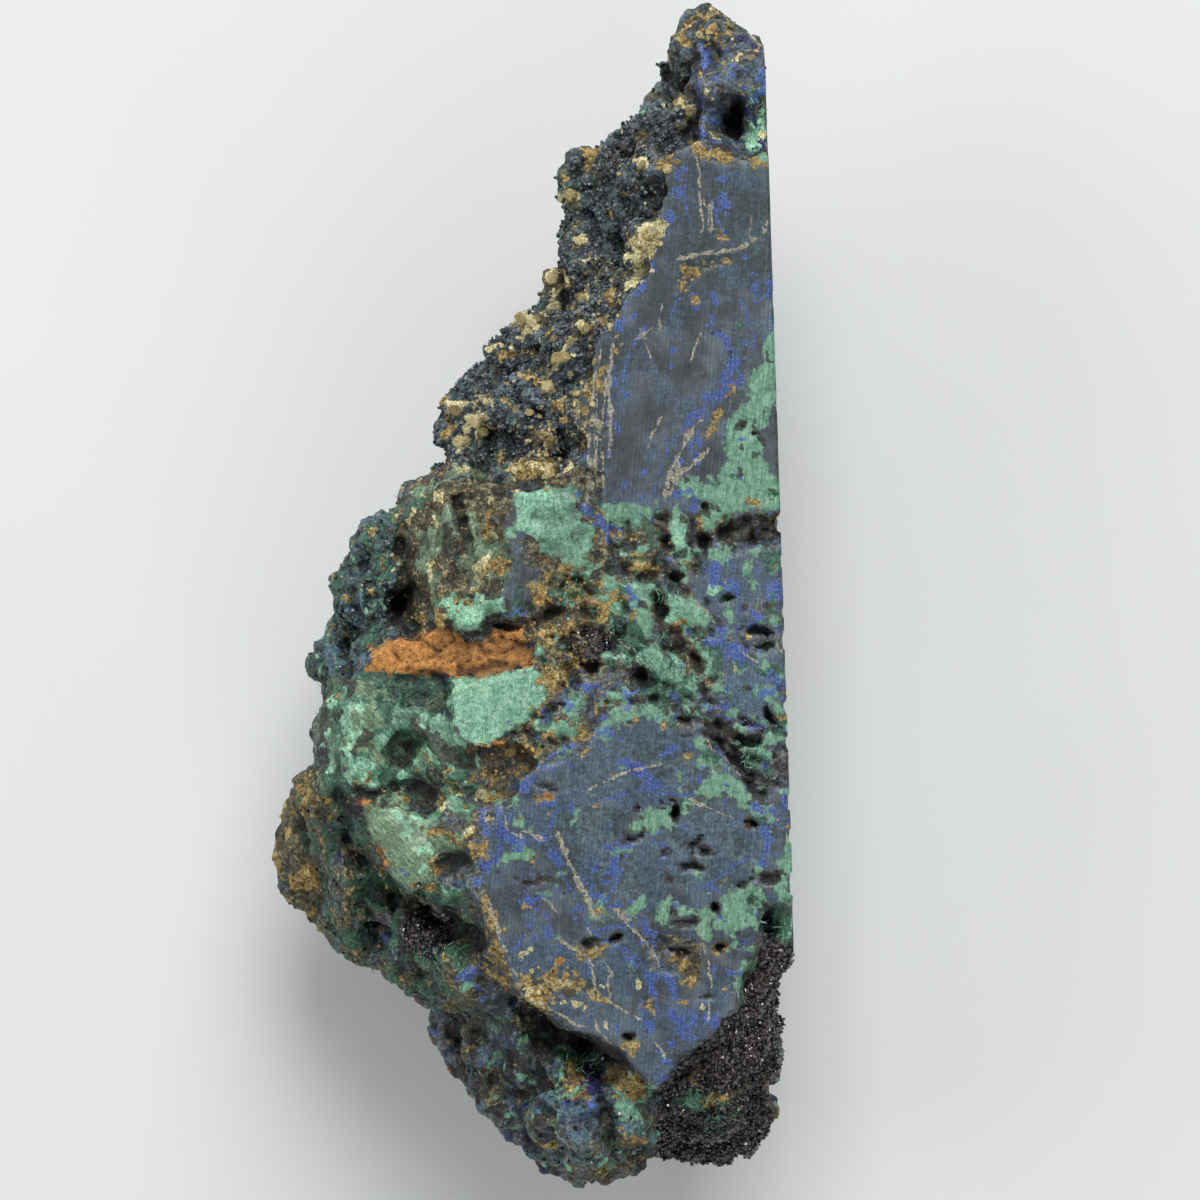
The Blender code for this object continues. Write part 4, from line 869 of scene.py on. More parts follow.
# Chips off the edge between the sawn face and the side cut: v, half length, depth in mm, reach down in mm
EDGE_CHIPS = (
    (523, 9, 0.45, 14.0), (560, 6, 0.12, 4.0), (612, 5, 0.15, 5.0), (640, 9, 0.22, 9.0), (672, 5, 0.15, 6.0),
    (707, 7, 0.28, 11.0),
    (742, 6, 0.22, 9.0), (803, 8, 0.18, 7.0), (836, 7, 0.28, 10.0), (884, 12, 0.42, 12.0),
    (300, 8, 0.10, 1.2), (404, 6, 0.10, 1.2),
)
# What grows in small patches within a stretch of the surface: outline, then mineral, patch size in mm
# and noise level
NATURAL_PATCHES = (
    (((690, 45), (775, 36), (772, 162), (700, 156), (678, 140)),
     (("olive_earth", 2.4, 0.12), ("ochre", 1.5, 0.58), ("indigo", 2.0, 0.34), ("bright_azurite", 1.6, 0.46),
      ("teal_slate", 2.4, 0.0),
      ("dark", 1.8, 0.36), ("cream", 1.3, 0.54))),
    (((700, 0), (770, 10), (770, 45), (700, 50), (690, 100), (668, 180), (655, 250), (600, 340), (583, 480),
      (430, 480), (430, 380), (540, 200)),
     (("olive_earth", 3.2, 0.32), ("ochre", 2.0, 0.46), ("cream", 1.5, 0.50),
      ("blue_green_kidney", 3.4, 0.42), ("blue_slate", 3.0, 0.1), ("dark", 2.2, 0.34))),
    (MOUND_OUTLINE,
     (("ochre", 2.2, 0.36), ("silky_green", 4.0, 0.20), ("cream", 1.4, 0.38), ("dark", 2.2, 0.34),
      ("deep_green", 2.6, 0.40))),
    (((300, 560), (380, 495), (404, 505), (400, 600), (420, 632), (370, 665), (330, 700), (300, 690)),
     (("deep_green", 2.6, 0.10), ("malachite", 1.6, 0.36), ("olive_earth", 2.8, 0.18),
      ("blue_veil", 2.6, 0.14), ("ochre", 1.4, 0.44))),
    (((317, 680), (460, 700), (475, 790), (350, 800), (317, 780)),
     (("dark", 2.4, 0.30), ("deep_green", 3.0, -0.02), ("silky_green", 2.6, 0.36), ("pale_mint", 1.8, 0.44))),
    (((300, 790), (350, 800), (380, 870), (470, 900), (460, 1010), (330, 980)),
     (("deep_green", 2.8, 0.00), ("olive_earth", 3.0, -0.12), ("blue_green_kidney", 2.8, 0.20),
      ("ochre", 1.4, 0.52))),
    (((265, 775), (325, 775), (318, 860), (310, 915), (262, 915)),
     (("ochre", 3.4, 0.12), ("olive_earth", 3.0, -0.60), ("dark", 2.4, 0.44))),
    (((430, 1020), (540, 1020), (655, 1095), (660, 1190), (430, 1190)),
     (("blue_veil", 2.8, 0.14), ("olive_earth", 3.2, 0.00), ("malachite", 1.8, 0.40), ("ochre", 2.0, 0.60),
      ("dark", 2.2, 0.42), ("blue_green_kidney", 3.0, 0.06))),
    (((430, 1010), (500, 1035), (525, 1070), (540, 1120), (560, 1190), (430, 1190)),
     (("dark", 2.4, 0.16), ("indigo", 2.8, 0.30), ("blue_veil", 2.8, 0.10))),
    (((655, 1090), (780, 1070), (780, 1175), (650, 1175)),
     (("olive_earth", 2.2, 0.34), ("malachite", 1.6, 0.44), ("indigo", 1.8, 0.44))),
    (((440, 780), (475, 780), (480, 900), (440, 900), (425, 860)),
     (("blue_veil", 2.0, 0.0), ("malachite", 1.6, 0.26), ("olive_earth", 2.4, 0.1))),
    (((352, 778), (470, 774), (474, 806), (352, 806)),
     (("olive_earth", 1.8, 0.06), ("ochre", 1.2, 0.34), ("malachite", 1.4, 0.30))),
    (((470, 738), (520, 742), (545, 732), (545, 800), (500, 812), (462, 800)),
     (("ochre", 1.6, 0.16), ("malachite", 1.4, 0.34), ("olive_earth", 2.0, -0.10), ("blue_veil", 1.6, 0.40))),
)
SAWN_PATCHES = (
    (((535, 590), (600, 588), (640, 640), (600, 690), (540, 690)),
     (("ochre", 1.7, 0.20), ("olive_earth", 2.0, -0.10), ("deep_green", 1.4, 0.34))),
    (((600, 515), (665, 515), (668, 585), (600, 585)), (("olive_earth", 1.6, -0.20), ("ochre", 1.2, 0.40))),
    (((500, 600), (600, 560), (600, 500), (800, 518), (800, 735), (700, 738), (640, 706), (560, 745),
      (520, 768), (500, 745), (540, 680)),
     (("malachite", 1.9, 0.30), ("ochre", 1.5, 0.52), ("bright_azurite", 1.3, 0.48),
      ("deep_green", 2.2, 0.36), ("olive_earth", 2.4, 0.22), ("dark", 1.5, 0.56), ("tan_veins", 1.3, 0.56))),
    (((690, 160), (780, 160), (790, 480), (700, 490), (583, 490), (583, 420), (660, 240)),
     (("bright_azurite", 1.5, 0.60), ("dark", 0.8, 0.62), ("blue_veil", 2.4, 0.30),
      ("deep_green", 1.8, 0.62))),
    (((700, 330), (790, 300), (790, 515), (690, 515), (690, 480), (735, 470), (725, 420), (750, 400)),
     (("dark", 0.8, 0.52), ("deep_green", 1.4, 0.54))),
    (((505, 790), (600, 740), (700, 735), (795, 800), (795, 900), (760, 1000), (640, 1060), (520, 1000),
      (470, 880)),
     (("bright_azurite", 1.2, 0.54), ("malachite", 1.3, 0.58), ("dark", 0.9, 0.58), ("ochre", 1.1, 0.64),
      ("teal_slate", 3.0, 0.1), ("blue_veil", 2.2, 0.16))),
)
# Khaki grains bedded in the crust: (u, v, half length, half width), and patches of small ones
# (u, v, radius, how many)
KHAKI_GRAINS = (
    (691, 113, 4, 9), (570, 197, 12, 7), (557, 280, 8, 12), (518, 318, 9, 6), (529, 322, 5, 5),
    (546, 385, 5, 7), (473, 421, 12, 7),
    (485, 400, 6, 5), (454, 407, 7, 5), (461, 441, 7, 5), (548, 441, 5, 7), (536, 433, 4, 7),
    (581, 296, 6, 5), (579, 242, 7, 5),
    (640, 164, 7, 5), (558, 357, 7, 12), (552, 362, 5, 6), (540, 318, 5, 8), (554, 337, 4, 4),
    (571, 340, 4, 4), (583, 328, 5, 8),
    (604, 320, 5, 6), (612, 295, 4, 4), (514, 466, 6, 5), (550, 470, 10, 7),
    (732, 26, 7, 4), (665, 168, 7, 6), (676, 160, 4, 6), (480, 433, 5, 4), (530, 414, 4, 4),
    (520, 372, 5, 4), (500, 345, 5, 5), (568, 376, 4, 4), (560, 402, 4, 4), (590, 350, 3, 4),
    (525, 440, 4, 4), (575, 392, 3, 3),
)
GRAIN_PATCHES = ((566, 400, 26, 34), (550, 440, 30, 40), (600, 320, 20, 16), (530, 465, 26, 34),
                 (646, 245, 14, 60), (480, 425, 26, 10),
                 (590, 280, 24, 10), (700, 40, 20, 8), (540, 985, 30, 16))
# Places where malachite needles stand in sprays: (u, v, radius, how many)
SPRAYS = (
    (592, 615, 9, 26), (614, 628, 10, 34), (637, 645, 14, 60), (668, 664, 18, 70), (664, 637, 7, 26),
    (689, 1099, 15, 70),
    (717, 1118, 16, 100), (756, 118, 12, 30), (772, 925, 8, 50), (665, 592, 9, 50), (748, 760, 9, 40),
    (700, 565, 8, 40),
    (575, 588, 12, 60), (430, 965, 12, 24), (586, 1062, 12, 40),
)


# Centres from which the malachite's fibres spread, and the box that each fan fills
FIBRE_FANS = (
    ((492, 620), (440, 655, 552, 755)), ((280, 620), (310, 675, 470, 792)),
    ((320, 760), (355, 795, 472, 905)),
    ((470, 545), (425, 585, 520, 640)), ((545, 430), (498, 478, 602, 582)),
    ((640, 420), (590, 495, 665, 535)),
    ((560, 560), (588, 570, 720, 740)), ((700, 1200), (665, 1080, 745, 1145)),
    ((640, 1000), (600, 1050, 660, 1150)),
)
FIBRE_WIDTH_MM = 0.16
FIBRE_LENGTH_MM = 1.8


def clear_selection():
    bpy.ops.object.select_all(action="DESELECT")


def choose(thing):
    clear_selection()
    thing.select_set(True)
    bpy.context.view_layer.objects.active = thing


def place(u, v):
    """The point of the sawn plane that is seen at (u, v), in metres before FRAME_SHIFT."""
    return ((u - ROCK_CENTRE[0]) / PIXELS_PER_METRE, (ROCK_CENTRE[1] - v) / PIXELS_PER_METRE)


def places(points):
    return np.array([place(point[0], point[1]) for point in points])


def field(points, softness=FIELD_SOFTNESS):
    """A smooth surface through (u, v, value) points, as a function of places in metres."""
    centres = places(points)
    values = np.array([point[2] for point in points], float)
    level = values.mean()

    def spread(where):
        gaps = where[:, None, :] - centres[None, :, :]
        return np.sqrt((gaps**2).sum(axis=2) + softness**2)

    shares = np.linalg.solve(spread(centres), values - level)
    return lambda where: level + spread(where) @ shares


def distance_to(where, corners, closed):
    """Distance of places to a line of corners, negative inside it where it is closed."""
    starts = np.array(corners, float)
    ends = np.roll(starts, -1, axis=0)
    if not closed:
        starts = starts[:-1]
        ends = ends[:-1]
    nearest = np.full(len(where), np.inf)
    inside = np.zeros(len(where), bool)
    for start, end in zip(starts, ends):
        run = end - start
        share = np.clip(((where - start) @ run) / max(run @ run, 1e-12), 0.0, 1.0)
        gap = where - start - share[:, None] * run
        nearest = np.minimum(nearest, (gap**2).sum(axis=1))
        if closed:
            spans = (start[1] > where[:, 1]) != (end[1] > where[:, 1])
            rise = run[1] if run[1] else 1.0
            crossing = start[0] + (where[:, 1] - start[1]) * run[0] / rise
            inside ^= spans & (where[:, 0] < crossing)
    return np.where(inside, -1.0, 1.0) * np.sqrt(nearest)


def signed_distance(where, outline):
    return distance_to(where, places(outline), True)


def smooth_step(share):
    share = np.clip(share, 0.0, 1.0)
    return share * share * (3.0 - 2.0 * share)


def rounded(share):
    """Quarter circle from 0 at the rim to 1."""
    share = np.clip(share, 0.0, 1.0)
    return np.sqrt(1.0 - (1.0 - share) ** 2)


def pit_share(where, pit):
    """1 in the middle of a pit's floor and 0 outside its lip."""
    u, v, half_length, half_width, turn, _ = pit
    away = where - np.array(place(u, v))
    angle = np.radians(turn)
    along = away[:, 0] * np.cos(angle) + away[:, 1] * np.sin(angle)
    across = away[:, 1] * np.cos(angle) - away[:, 0] * np.sin(angle)
    reach = np.hypot(along / half_length, across / half_width) * PIXELS_PER_METRE
    return smooth_step((1.0 - reach) * PIT_WALL_STEEPNESS)


def warped(points, amount, size=WARP_SIZE):
    """Sideways shifts of a rough noise, which give drawn shapes a natural rim, in metres."""
    spots = [Vector(point) / size for point in points]
    shifts = [noise.noise_vector(spot) + noise.noise_vector(spot * WARP_DETAIL) * WARP_DETAIL_SHARE
              for spot in spots]
    return np.array(shifts)[:, :2] * amount


def add_ledges(where, depth):
    for outline, left_depth, right_depth in LEDGES:
        left, right = places((min(outline), max(outline)))[:, 0]
        share = np.clip((where[:, 0] - left) / (right - left), 0.0, 1.0)
        level = (left_depth + (right_depth - left_depth) * share) * MM
        over = 1.0 - smooth_step(signed_distance(where, outline) / LEDGE_WALL + 0.5)
        depth = depth + np.minimum(level - depth, 0.0) * over
    return depth


def add_lumps(where, depth):
    for u, v, crown, radius in FRONT_LUMPS:
        gap = np.hypot(*(where - np.array(place(u, v))).T) / (radius * MM)
        level = (crown + radius * (1.0 - np.sqrt(np.maximum(1.0 - gap**2, 0.0)))) * MM
        depth = np.where(gap < 1.0, np.minimum(depth, level), depth)
    return depth


def front_depth(where):
    """Depth under the sawn plane, in metres. The sawn face stands proud by the saw's stock."""
    natural = np.maximum(field(FRONT_DEPTHS)(where) * MM, LEAST_DEPTH)
    natural = add_ledges(where, add_lumps(where, natural))
    wall = smooth_step(signed_distance(where, SAWN_OUTLINE) / SAWN_WALL)
    return natural * wall - SAW_STOCK * (1.0 - wall)


def remesh(rock, voxel):
    modifier = rock.modifiers.new("Remesh", "REMESH")
    modifier.mode = "VOXEL"
    modifier.voxel_size = voxel
    choose(rock)
    bpy.ops.object.modifier_apply(modifier=modifier.name)


def points_of(rock):
    flat = np.empty(len(rock.data.vertices) * 3)
    rock.data.vertices.foreach_get("co", flat)
    return flat.reshape(-1, 3)


def normals_of(rock):
    flat = np.empty(len(rock.data.vertices) * 3)
    rock.data.vertices.foreach_get("normal", flat)
    return flat.reshape(-1, 3)


def set_points(rock, points):
    rock.data.vertices.foreach_set("co", points.ravel())
    rock.data.update()


def make_slab(name, voxel):
    """The outline as a filled curve, raised to a slab of the rock's thickness."""
    clear_selection()
    curve = bpy.data.curves.new(name, "CURVE")
    curve.dimensions = "2D"
    curve.fill_mode = "BOTH"
    curve.extrude = THICKNESS / 2.0
    spline = curve.splines.new("POLY")
    spline.points.add(len(ROCK_OUTLINE) - 1)
    for point, (u, v) in zip(spline.points, ROCK_OUTLINE):
        point.co = (*place(u, v), 0.0, 1.0)
    spline.use_cyclic_u = True
    slab = bpy.data.objects.new(name, curve)
    bpy.context.scene.collection.objects.link(slab)
    choose(slab)
    bpy.ops.object.convert(target="MESH")
    remesh(slab, voxel)
    return slab


def shape_front_and_back(rock):
    """Carries the slab's flat sides to the front and back surfaces, which meet at a round rim."""
    points = points_of(rock)
    where = points[:, :2].copy()
    height = np.clip(points[:, 2] / THICKNESS + 0.5, 0.0, 1.0)
    inward = np.maximum(-signed_distance(where, ROCK_OUTLINE), 0.0)
    rim = field(RIM_DEPTHS)(where) * MM
    front_rim = rim - RIM_HALF_HEIGHT
    back_rim = rim + RIM_HALF_HEIGHT
    front = front_rim + (front_depth(where) - front_rim) * rounded(inward / FRONT_RIM_RADIUS)
    back_level = THICKNESS - field(BACK_HEIGHTS)(where) * MM
    back = back_rim + (back_level - back_rim) * rounded(inward / BACK_RIM_RADIUS)
    depth = front * height + np.maximum(back, front + RIM_HALF_HEIGHT) * (1.0 - height)
    points[:, 2] = THICKNESS - depth
    axis = np.array(place(*VIEW_CENTRE))
    points[:, :2] = axis + (where - axis) * (1.0 + depth / VIEW_DISTANCE)[:, None]
    set_points(rock, points)


def lump_height(point):
    """Kidney-shaped growth: lumps with sharp valleys, in two sizes."""
    height = 0.0
    for size, rise in KIDNEY_LUMPS:
        nearest = noise.voronoi(point / size, distance_metric="DISTANCE", exponent=2.5)[0][0]
        height += rise * (0.45 - nearest)
    return height


def bead_height(point, beads):
    """Round beads packed together, with deep narrow valleys between them."""
    height = 0.0
    for size, rise in beads:
        nearest = noise.voronoi(point / size, distance_metric="DISTANCE", exponent=2.5)[0][0]
        height += rise * (math.sqrt(max(1.0 - (nearest / BEAD_REACH) ** 2, 0.0)) - BEAD_MEAN)
    return height


def crag_height(point, size):
    """Broken rock: billows with sharp creases, from about -0.5 to 0.6."""
    return noise.turbulence(point / size, 4, True, amplitude_scale=0.55, frequency_scale=2.1) - 0.5


def block_height(point):
    """Layers broken into blocks: each block at its own level, with a crack around it."""
    spot = Vector([part / size for part, size in zip(point, BLOCK_SIZES)])
    distances, blocks = noise.voronoi(spot, distance_metric="DISTANCE", exponent=2.5)
    crack = max(1.0 - (distances[1] - distances[0]) / BLOCK_CRACK, 0.0)
    return 0.9 * noise.noise(blocks[0] * 3.7) - 0.55 * crack


def crag_rise(points, normals):
    """Rise of the crags at each point, in metres: none on the sawn face, little on smooth malachite."""
    seen = seen_places(points)
    rise = np.full(len(points), CRAG_BASE)
    for outline, strength in CRAG_ZONES:
        inside = -distance_to(seen, outline, True) / PIXELS_PER_MM
        rise = np.maximum(rise, strength * smooth_step(inside / 2.0 + 0.5))
    smooth = np.max([depth_inside(seen, mineral) for mineral in (SILKY_GREEN, PALE_MINT, RUST)], axis=0)
    rise *= 1.0 - 0.85 * smooth_step(smooth / 0.8 + 0.5)
    behind = smooth_step((0.2 - normals[:, 2]) / 0.4)
    rise += (1.1 - rise) * behind
    outside = signed_distance(places(seen), SAWN_OUTLINE) / MM
    return rise * MM * np.maximum(smooth_step(outside / 0.8), behind)


def bead_gain(points, normals):
    """How strongly beads grow at each point: not on the sawn face, little on smooth malachite."""
    seen = seen_places(points)
    gain = np.full(len(points), BEAD_BASE)
    for outline, strength in BEAD_ZONES:
        inside = -distance_to(seen, outline, True) / PIXELS_PER_MM
        gain = np.maximum(gain, strength * smooth_step(inside / 2.0 + 0.5))
    smooth = np.max([depth_inside(seen, mineral) for mineral in (MALACHITE, RUST, OLIVE_MOUND)], axis=0)
    gain *= 1.0 - 0.88 * smooth_step(smooth / 0.8 + 0.5)
    behind = smooth_step((0.2 - normals[:, 2]) / 0.4)
    gain += (0.75 - gain) * behind
    outside = signed_distance(places(seen), SAWN_OUTLINE) / MM
    return gain * np.maximum(smooth_step(outside / 0.8), behind)


def grow_lumps(rock):
    points = points_of(rock)
    normals = normals_of(rock)
    heights = np.array([lump_height(Vector(point)) for point in points])
    gain = 1.0 + (BACK_LUMP_GAIN - 1.0) * smooth_step(-normals[:, 2])
    beads = np.array([bead_height(Vector(point), COARSE_BEADS) for point in points])
    crags = np.array([crag_height(Vector(point), CRAG_SIZE) for point in points])
    heights = heights * gain + beads * bead_gain(points, normals) + crags * crag_rise(points, normals)
    set_points(rock, points + normals * heights[:, None])


def open_hollows(rock):
    """Sinks the open pits and crevices, with rough rims, and sets round nodules in them."""
    points = points_of(rock)
    front = np.where(points[:, 2] > THICKNESS * 0.5)[0]
    seen = seen_places(points[front])
    where = places(seen) + warped(points[front], *HOLLOW_WARP)
    height = points[front, 2]
    for pit in LARGE_PITS:
        share = pit_share(where, pit)
        height = height * (1.0 - share) + (np.minimum(height, THICKNESS) - 0.8 * pit[5] * MM) * share
    outside = np.maximum(signed_distance(places(seen), SAWN_OUTLINE) / MM, 0.0)
    for line, width, depth in CREVICES:
        gap = distance_to(where, places(line), False) * PIXELS_PER_METRE
        height -= smooth_step(1.4 - gap / (width / 2.0)) * depth * MM * smooth_step(outside + 0.3)
    for u, v, crown, radius in NODULES:
        gap = np.hypot(*(where - np.array(place(u, v))).T) / (radius * MM)
        level = THICKNESS - (crown + radius * (1.0 - np.sqrt(np.maximum(1.0 - gap**2, 0.0)))) * MM
        height = np.where(gap < 1.0, np.maximum(height, level), height)
    points[front, 2] = height
    set_points(rock, points)


def chip_edge(rock):
    """Breaks small chips off the edge between the sawn face and the side cut."""
    points = points_of(rock)
    top, outward = side_cut()
    past = (points[:, :2] - top) @ outward
    depth = (THICKNESS - points[:, 2]) / MM
    edge = np.where((past > -EDGE_BAND) & (depth < EDGE_DEPTH_MM))[0]
    seen = seen_places(points[edge])
    rough = np.array([noise.noise(Vector(point) / 0.0009) for point in points[edge]])
    for v, half_length, chip, reach in EDGE_CHIPS:
        along = 1.0 - np.abs(seen[:, 1] - v) / half_length
        share = smooth_step(along * 3.0) * smooth_step((1.0 - depth[edge] / reach) * 2.0 + rough * 0.8)
        inward = share * (1.3 + rough) * chip * MM * smooth_step(1.0 + past[edge] / EDGE_BAND)
        points[edge, :2] -= inward[:, None] * outward
    set_points(rock, points)


def side_cut():
    """A point of the second saw cut and its outward direction."""
    top = np.array(place(*SAW_CUT_TOP))
    foot = np.array(place(*SAW_CUT_FOOT))
    lean = np.arctan2(foot[0] - top[0], top[1] - foot[1])
    return top, np.array((np.cos(lean), np.sin(lean)))


def flat_faces(points, normals):
    """Which points lie on the sawn face, on the side cut and on the ground."""
    top, outward = side_cut()
    past = (points[:, :2] - top) @ outward
    sawn = (THICKNESS - points[:, 2] < FLAT_SNAP) & (normals[:, 2] > 0.7)
    side = (past > -FLAT_SNAP) & (normals[:, :2] @ outward > 0.7)
    ground = (points[:, 2] < FLAT_SNAP) & (normals[:, 2] < -0.7)
    return sawn, side, ground


def snap_flat(rock):
    points = points_of(rock)
    sawn, side, ground = flat_faces(points, normals_of(rock))
    top, outward = side_cut()
    past = (points[:, :2] - top) @ outward
    points[side, :2] -= past[side, None] * outward
    points[sawn, 2] = THICKNESS
    points[ground, 2] = 0.0
    set_points(rock, points)


def seen_places(points):
    """Where each point is seen in the view, in pixels."""
    axis = np.array(place(*VIEW_CENTRE))
    depth = THICKNESS - points[:, 2]
    where = axis + (points[:, :2] - axis) / (1.0 + depth / VIEW_DISTANCE)[:, None]
    u = where[:, 0] * PIXELS_PER_METRE + ROCK_CENTRE[0]
    v = ROCK_CENTRE[1] - where[:, 1] * PIXELS_PER_METRE
    return np.stack((u, v), axis=1)


def spot_corners(spot):
    u, v, half_length, half_width, turn = spot
    angle = math.radians(turn)
    corners = []
    for step in range(10):
        along = half_length * math.cos(math.tau * step / 10)
        across = half_width * math.sin(math.tau * step / 10)
        corners.append((u + along * math.cos(angle) + across * math.sin(angle),
                        v - along * math.sin(angle) + across * math.cos(angle)))
    return corners


def depth_inside(seen, mineral):
    """How far inside a mineral's shapes each place is, in millimetres, negative outside."""
    level = np.full(len(seen), -FARTHEST_MM)
    margin = FARTHEST_MM * PIXELS_PER_MM
    shapes = [(corners, True, 0.0) for corners in mineral["outlines"]]
    shapes += [(corners, False, width / 2.0) for corners, width in mineral["streaks"]]
    shapes += [(spot_corners(spot), True, 0.0) for spot in mineral["spots"]]
    for corners, closed, half_width in shapes:
        low = np.min(corners, axis=0) - margin
        high = np.max(corners, axis=0) + margin
        near = np.where(((seen > low) & (seen < high)).all(axis=1))[0]
        if len(near):
            inside = (half_width - distance_to(seen[near], corners, closed)) / PIXELS_PER_MM
            level[near] = np.maximum(level[near], inside)
    return level


def vein_offset(seen, veins):
    """Signed distance across the nearest vein, which crosses zero on it, and the vein's half width, in mm."""
    nearest = np.full(len(seen), FARTHEST_MM)
    offset = nearest.copy()
    half_width = np.zeros(len(seen))
    for corners, width in veins["streaks"]:
        for start, end in zip(np.array(corners[:-1], float), np.array(corners[1:], float)):
            run = end - start
            share = np.clip(((seen - start) @ run) / (run @ run), 0.0, 1.0)
            gap = seen - start - share[:, None] * run
            size = np.hypot(gap[:, 0], gap[:, 1]) / PIXELS_PER_MM
            side = np.where(gap[:, 0] * run[1] > gap[:, 1] * run[0], 1.0, -1.0)
            closer = size < nearest
            nearest[closer] = size[closer]
            offset[closer] = (size * side)[closer]
            half_width[closer] = width / 2.0 / PIXELS_PER_MM
    return offset, half_width


def hidden_level(points, size_mm, level, seed):
    """Patches of a mineral on what the view doesn't show, as a smooth noise over a level."""
    shift = Vector((seed * 7.3, seed * 3.1, seed * 5.7))
    scale = 1.0 / (size_mm * MM)
    spots = [Vector(point) * scale + shift for point in points]
    found = [noise.noise(spot) + 0.45 * noise.noise(spot * 2.3) + 0.25 * noise.noise(spot * 5.1)
             for spot in spots]
    return (np.array(found) - level) * size_mm


def store(rock, name, values, kind="FLOAT"):
    attribute = rock.data.attributes.get(name) or rock.data.attributes.new(name, kind, "POINT")
    attribute.data.foreach_set("value" if kind == "FLOAT" else "vector", values.astype(np.float32).ravel())


def hollow_depth(rock, rounds):
    """How far each point lies under the average of its surroundings, in mm; negative on crowns."""
    points = points_of(rock)
    ends = np.empty(len(rock.data.edges) * 2, np.int32)
    rock.data.edges.foreach_get("vertices", ends)
    first, second = ends.reshape(-1, 2).T
    count = len(points)
    shares = np.bincount(first, minlength=count) + np.bincount(second, minlength=count)
    level = points.copy()
    for _ in range(rounds):
        for axis in range(3):
            total = np.bincount(first, level[second, axis], count)
            total += np.bincount(second, level[first, axis], count)
            level[:, axis] = total / np.maximum(shares, 1)
    return ((level - points) * normals_of(rock)).sum(axis=1) / MM


def fibre_places(seen):
    """Each place measured across and along the fibres, in fibres."""
    centre = np.tile((900.0, -600.0), (len(seen), 1))
    for (u, v), (left, top, right, foot) in FIBRE_FANS:
        inside = (seen[:, 0] > left) & (seen[:, 0] < right) & (seen[:, 1] > top) & (seen[:, 1] < foot)
        centre[inside] = (u, v)
    gap = (seen - centre) / PIXELS_PER_MM
    reach = np.hypot(gap[:, 0], gap[:, 1])
    turn = np.arctan2(gap[:, 1], gap[:, 0]) * np.maximum(np.round(reach / 6.0), 1.0) * 6.0
    return np.stack((turn / FIBRE_WIDTH_MM, reach / FIBRE_LENGTH_MM, centre[:, 0]), axis=1)


def add_patches(levels, points, seen, surface, zones, seed):
    """Lets minerals grow in small irregular patches within a stretch of the surface."""
    for outline, kinds in zones:
        inside = -distance_to(seen, outline, True) / PIXELS_PER_MM
        here = np.where(surface & (inside > -0.6))[0]
        for name, size_mm, share in kinds:
            seed += 1
            patch = np.minimum(hidden_level(points[here], size_mm, share, seed), inside[here] + 0.6)
            patch = np.where(patch < 0.0, patch * 5.0, patch * 1.6)
            levels[name][here] = np.maximum(levels[name][here], np.maximum(patch, -FARTHEST_MM))


def paint(rock):
    """Stores each mineral's place on the rock, what of it is sawn, its hollows and its fibres."""
    points = points_of(rock)
    normals = normals_of(rock)
    seen = seen_places(points)
    drawn = seen + warped(points, *DRAWN_WARP)
    sawn, side, _ = flat_faces(points, normals)
    torn = signed_distance(places(seen), SAWN_OUTLINE) < 0.0
    hidden = smooth_step((0.25 - normals[:, 2]) / 0.45)
    hidden[sawn] = 0.0
    hidden[torn & (points[:, 2] > THICKNESS - 0.0025) & ~side] = 0.0
    hidden[side] = smooth_step((THICKNESS - points[side, 2]) / 0.003)
    unseen = np.where(hidden > 0.0)[0]
    levels = {name: depth_inside(drawn, mineral) for name, mineral in MINERALS.items()}
    front = normals[:, 2] > 0.0
    add_patches(levels, points, seen, front & ~torn, NATURAL_PATCHES, 100)
    add_patches(levels, points, seen, front & torn, SAWN_PATCHES, 200)
    for seed, (name, level) in enumerate(levels.items()):
        size_mm, share = BACK_SHARES[name]
        behind = hidden_level(points[unseen], size_mm, share, seed + 1)
        level[unseen] += (np.clip(behind, -FARTHEST_MM, FARTHEST_MM) - level[unseen]) * hidden[unseen]
        store(rock, name, level)
    for name in VEINS:
        offset, half_width = vein_offset(drawn, MINERALS[name])
        store(rock, name + "_across", offset)
        store(rock, name + "_half", half_width)
    store(rock, "sawn", (sawn | side).astype(float))
    # The hollow depth drives the painted shade in hollows and the painted highlight on crowns
    store(rock, "hollow", hollow_depth(rock, 5) * 1.6 + hollow_depth(rock, 40))
    store(rock, "fibre", fibre_places(seen), "FLOAT_VECTOR")


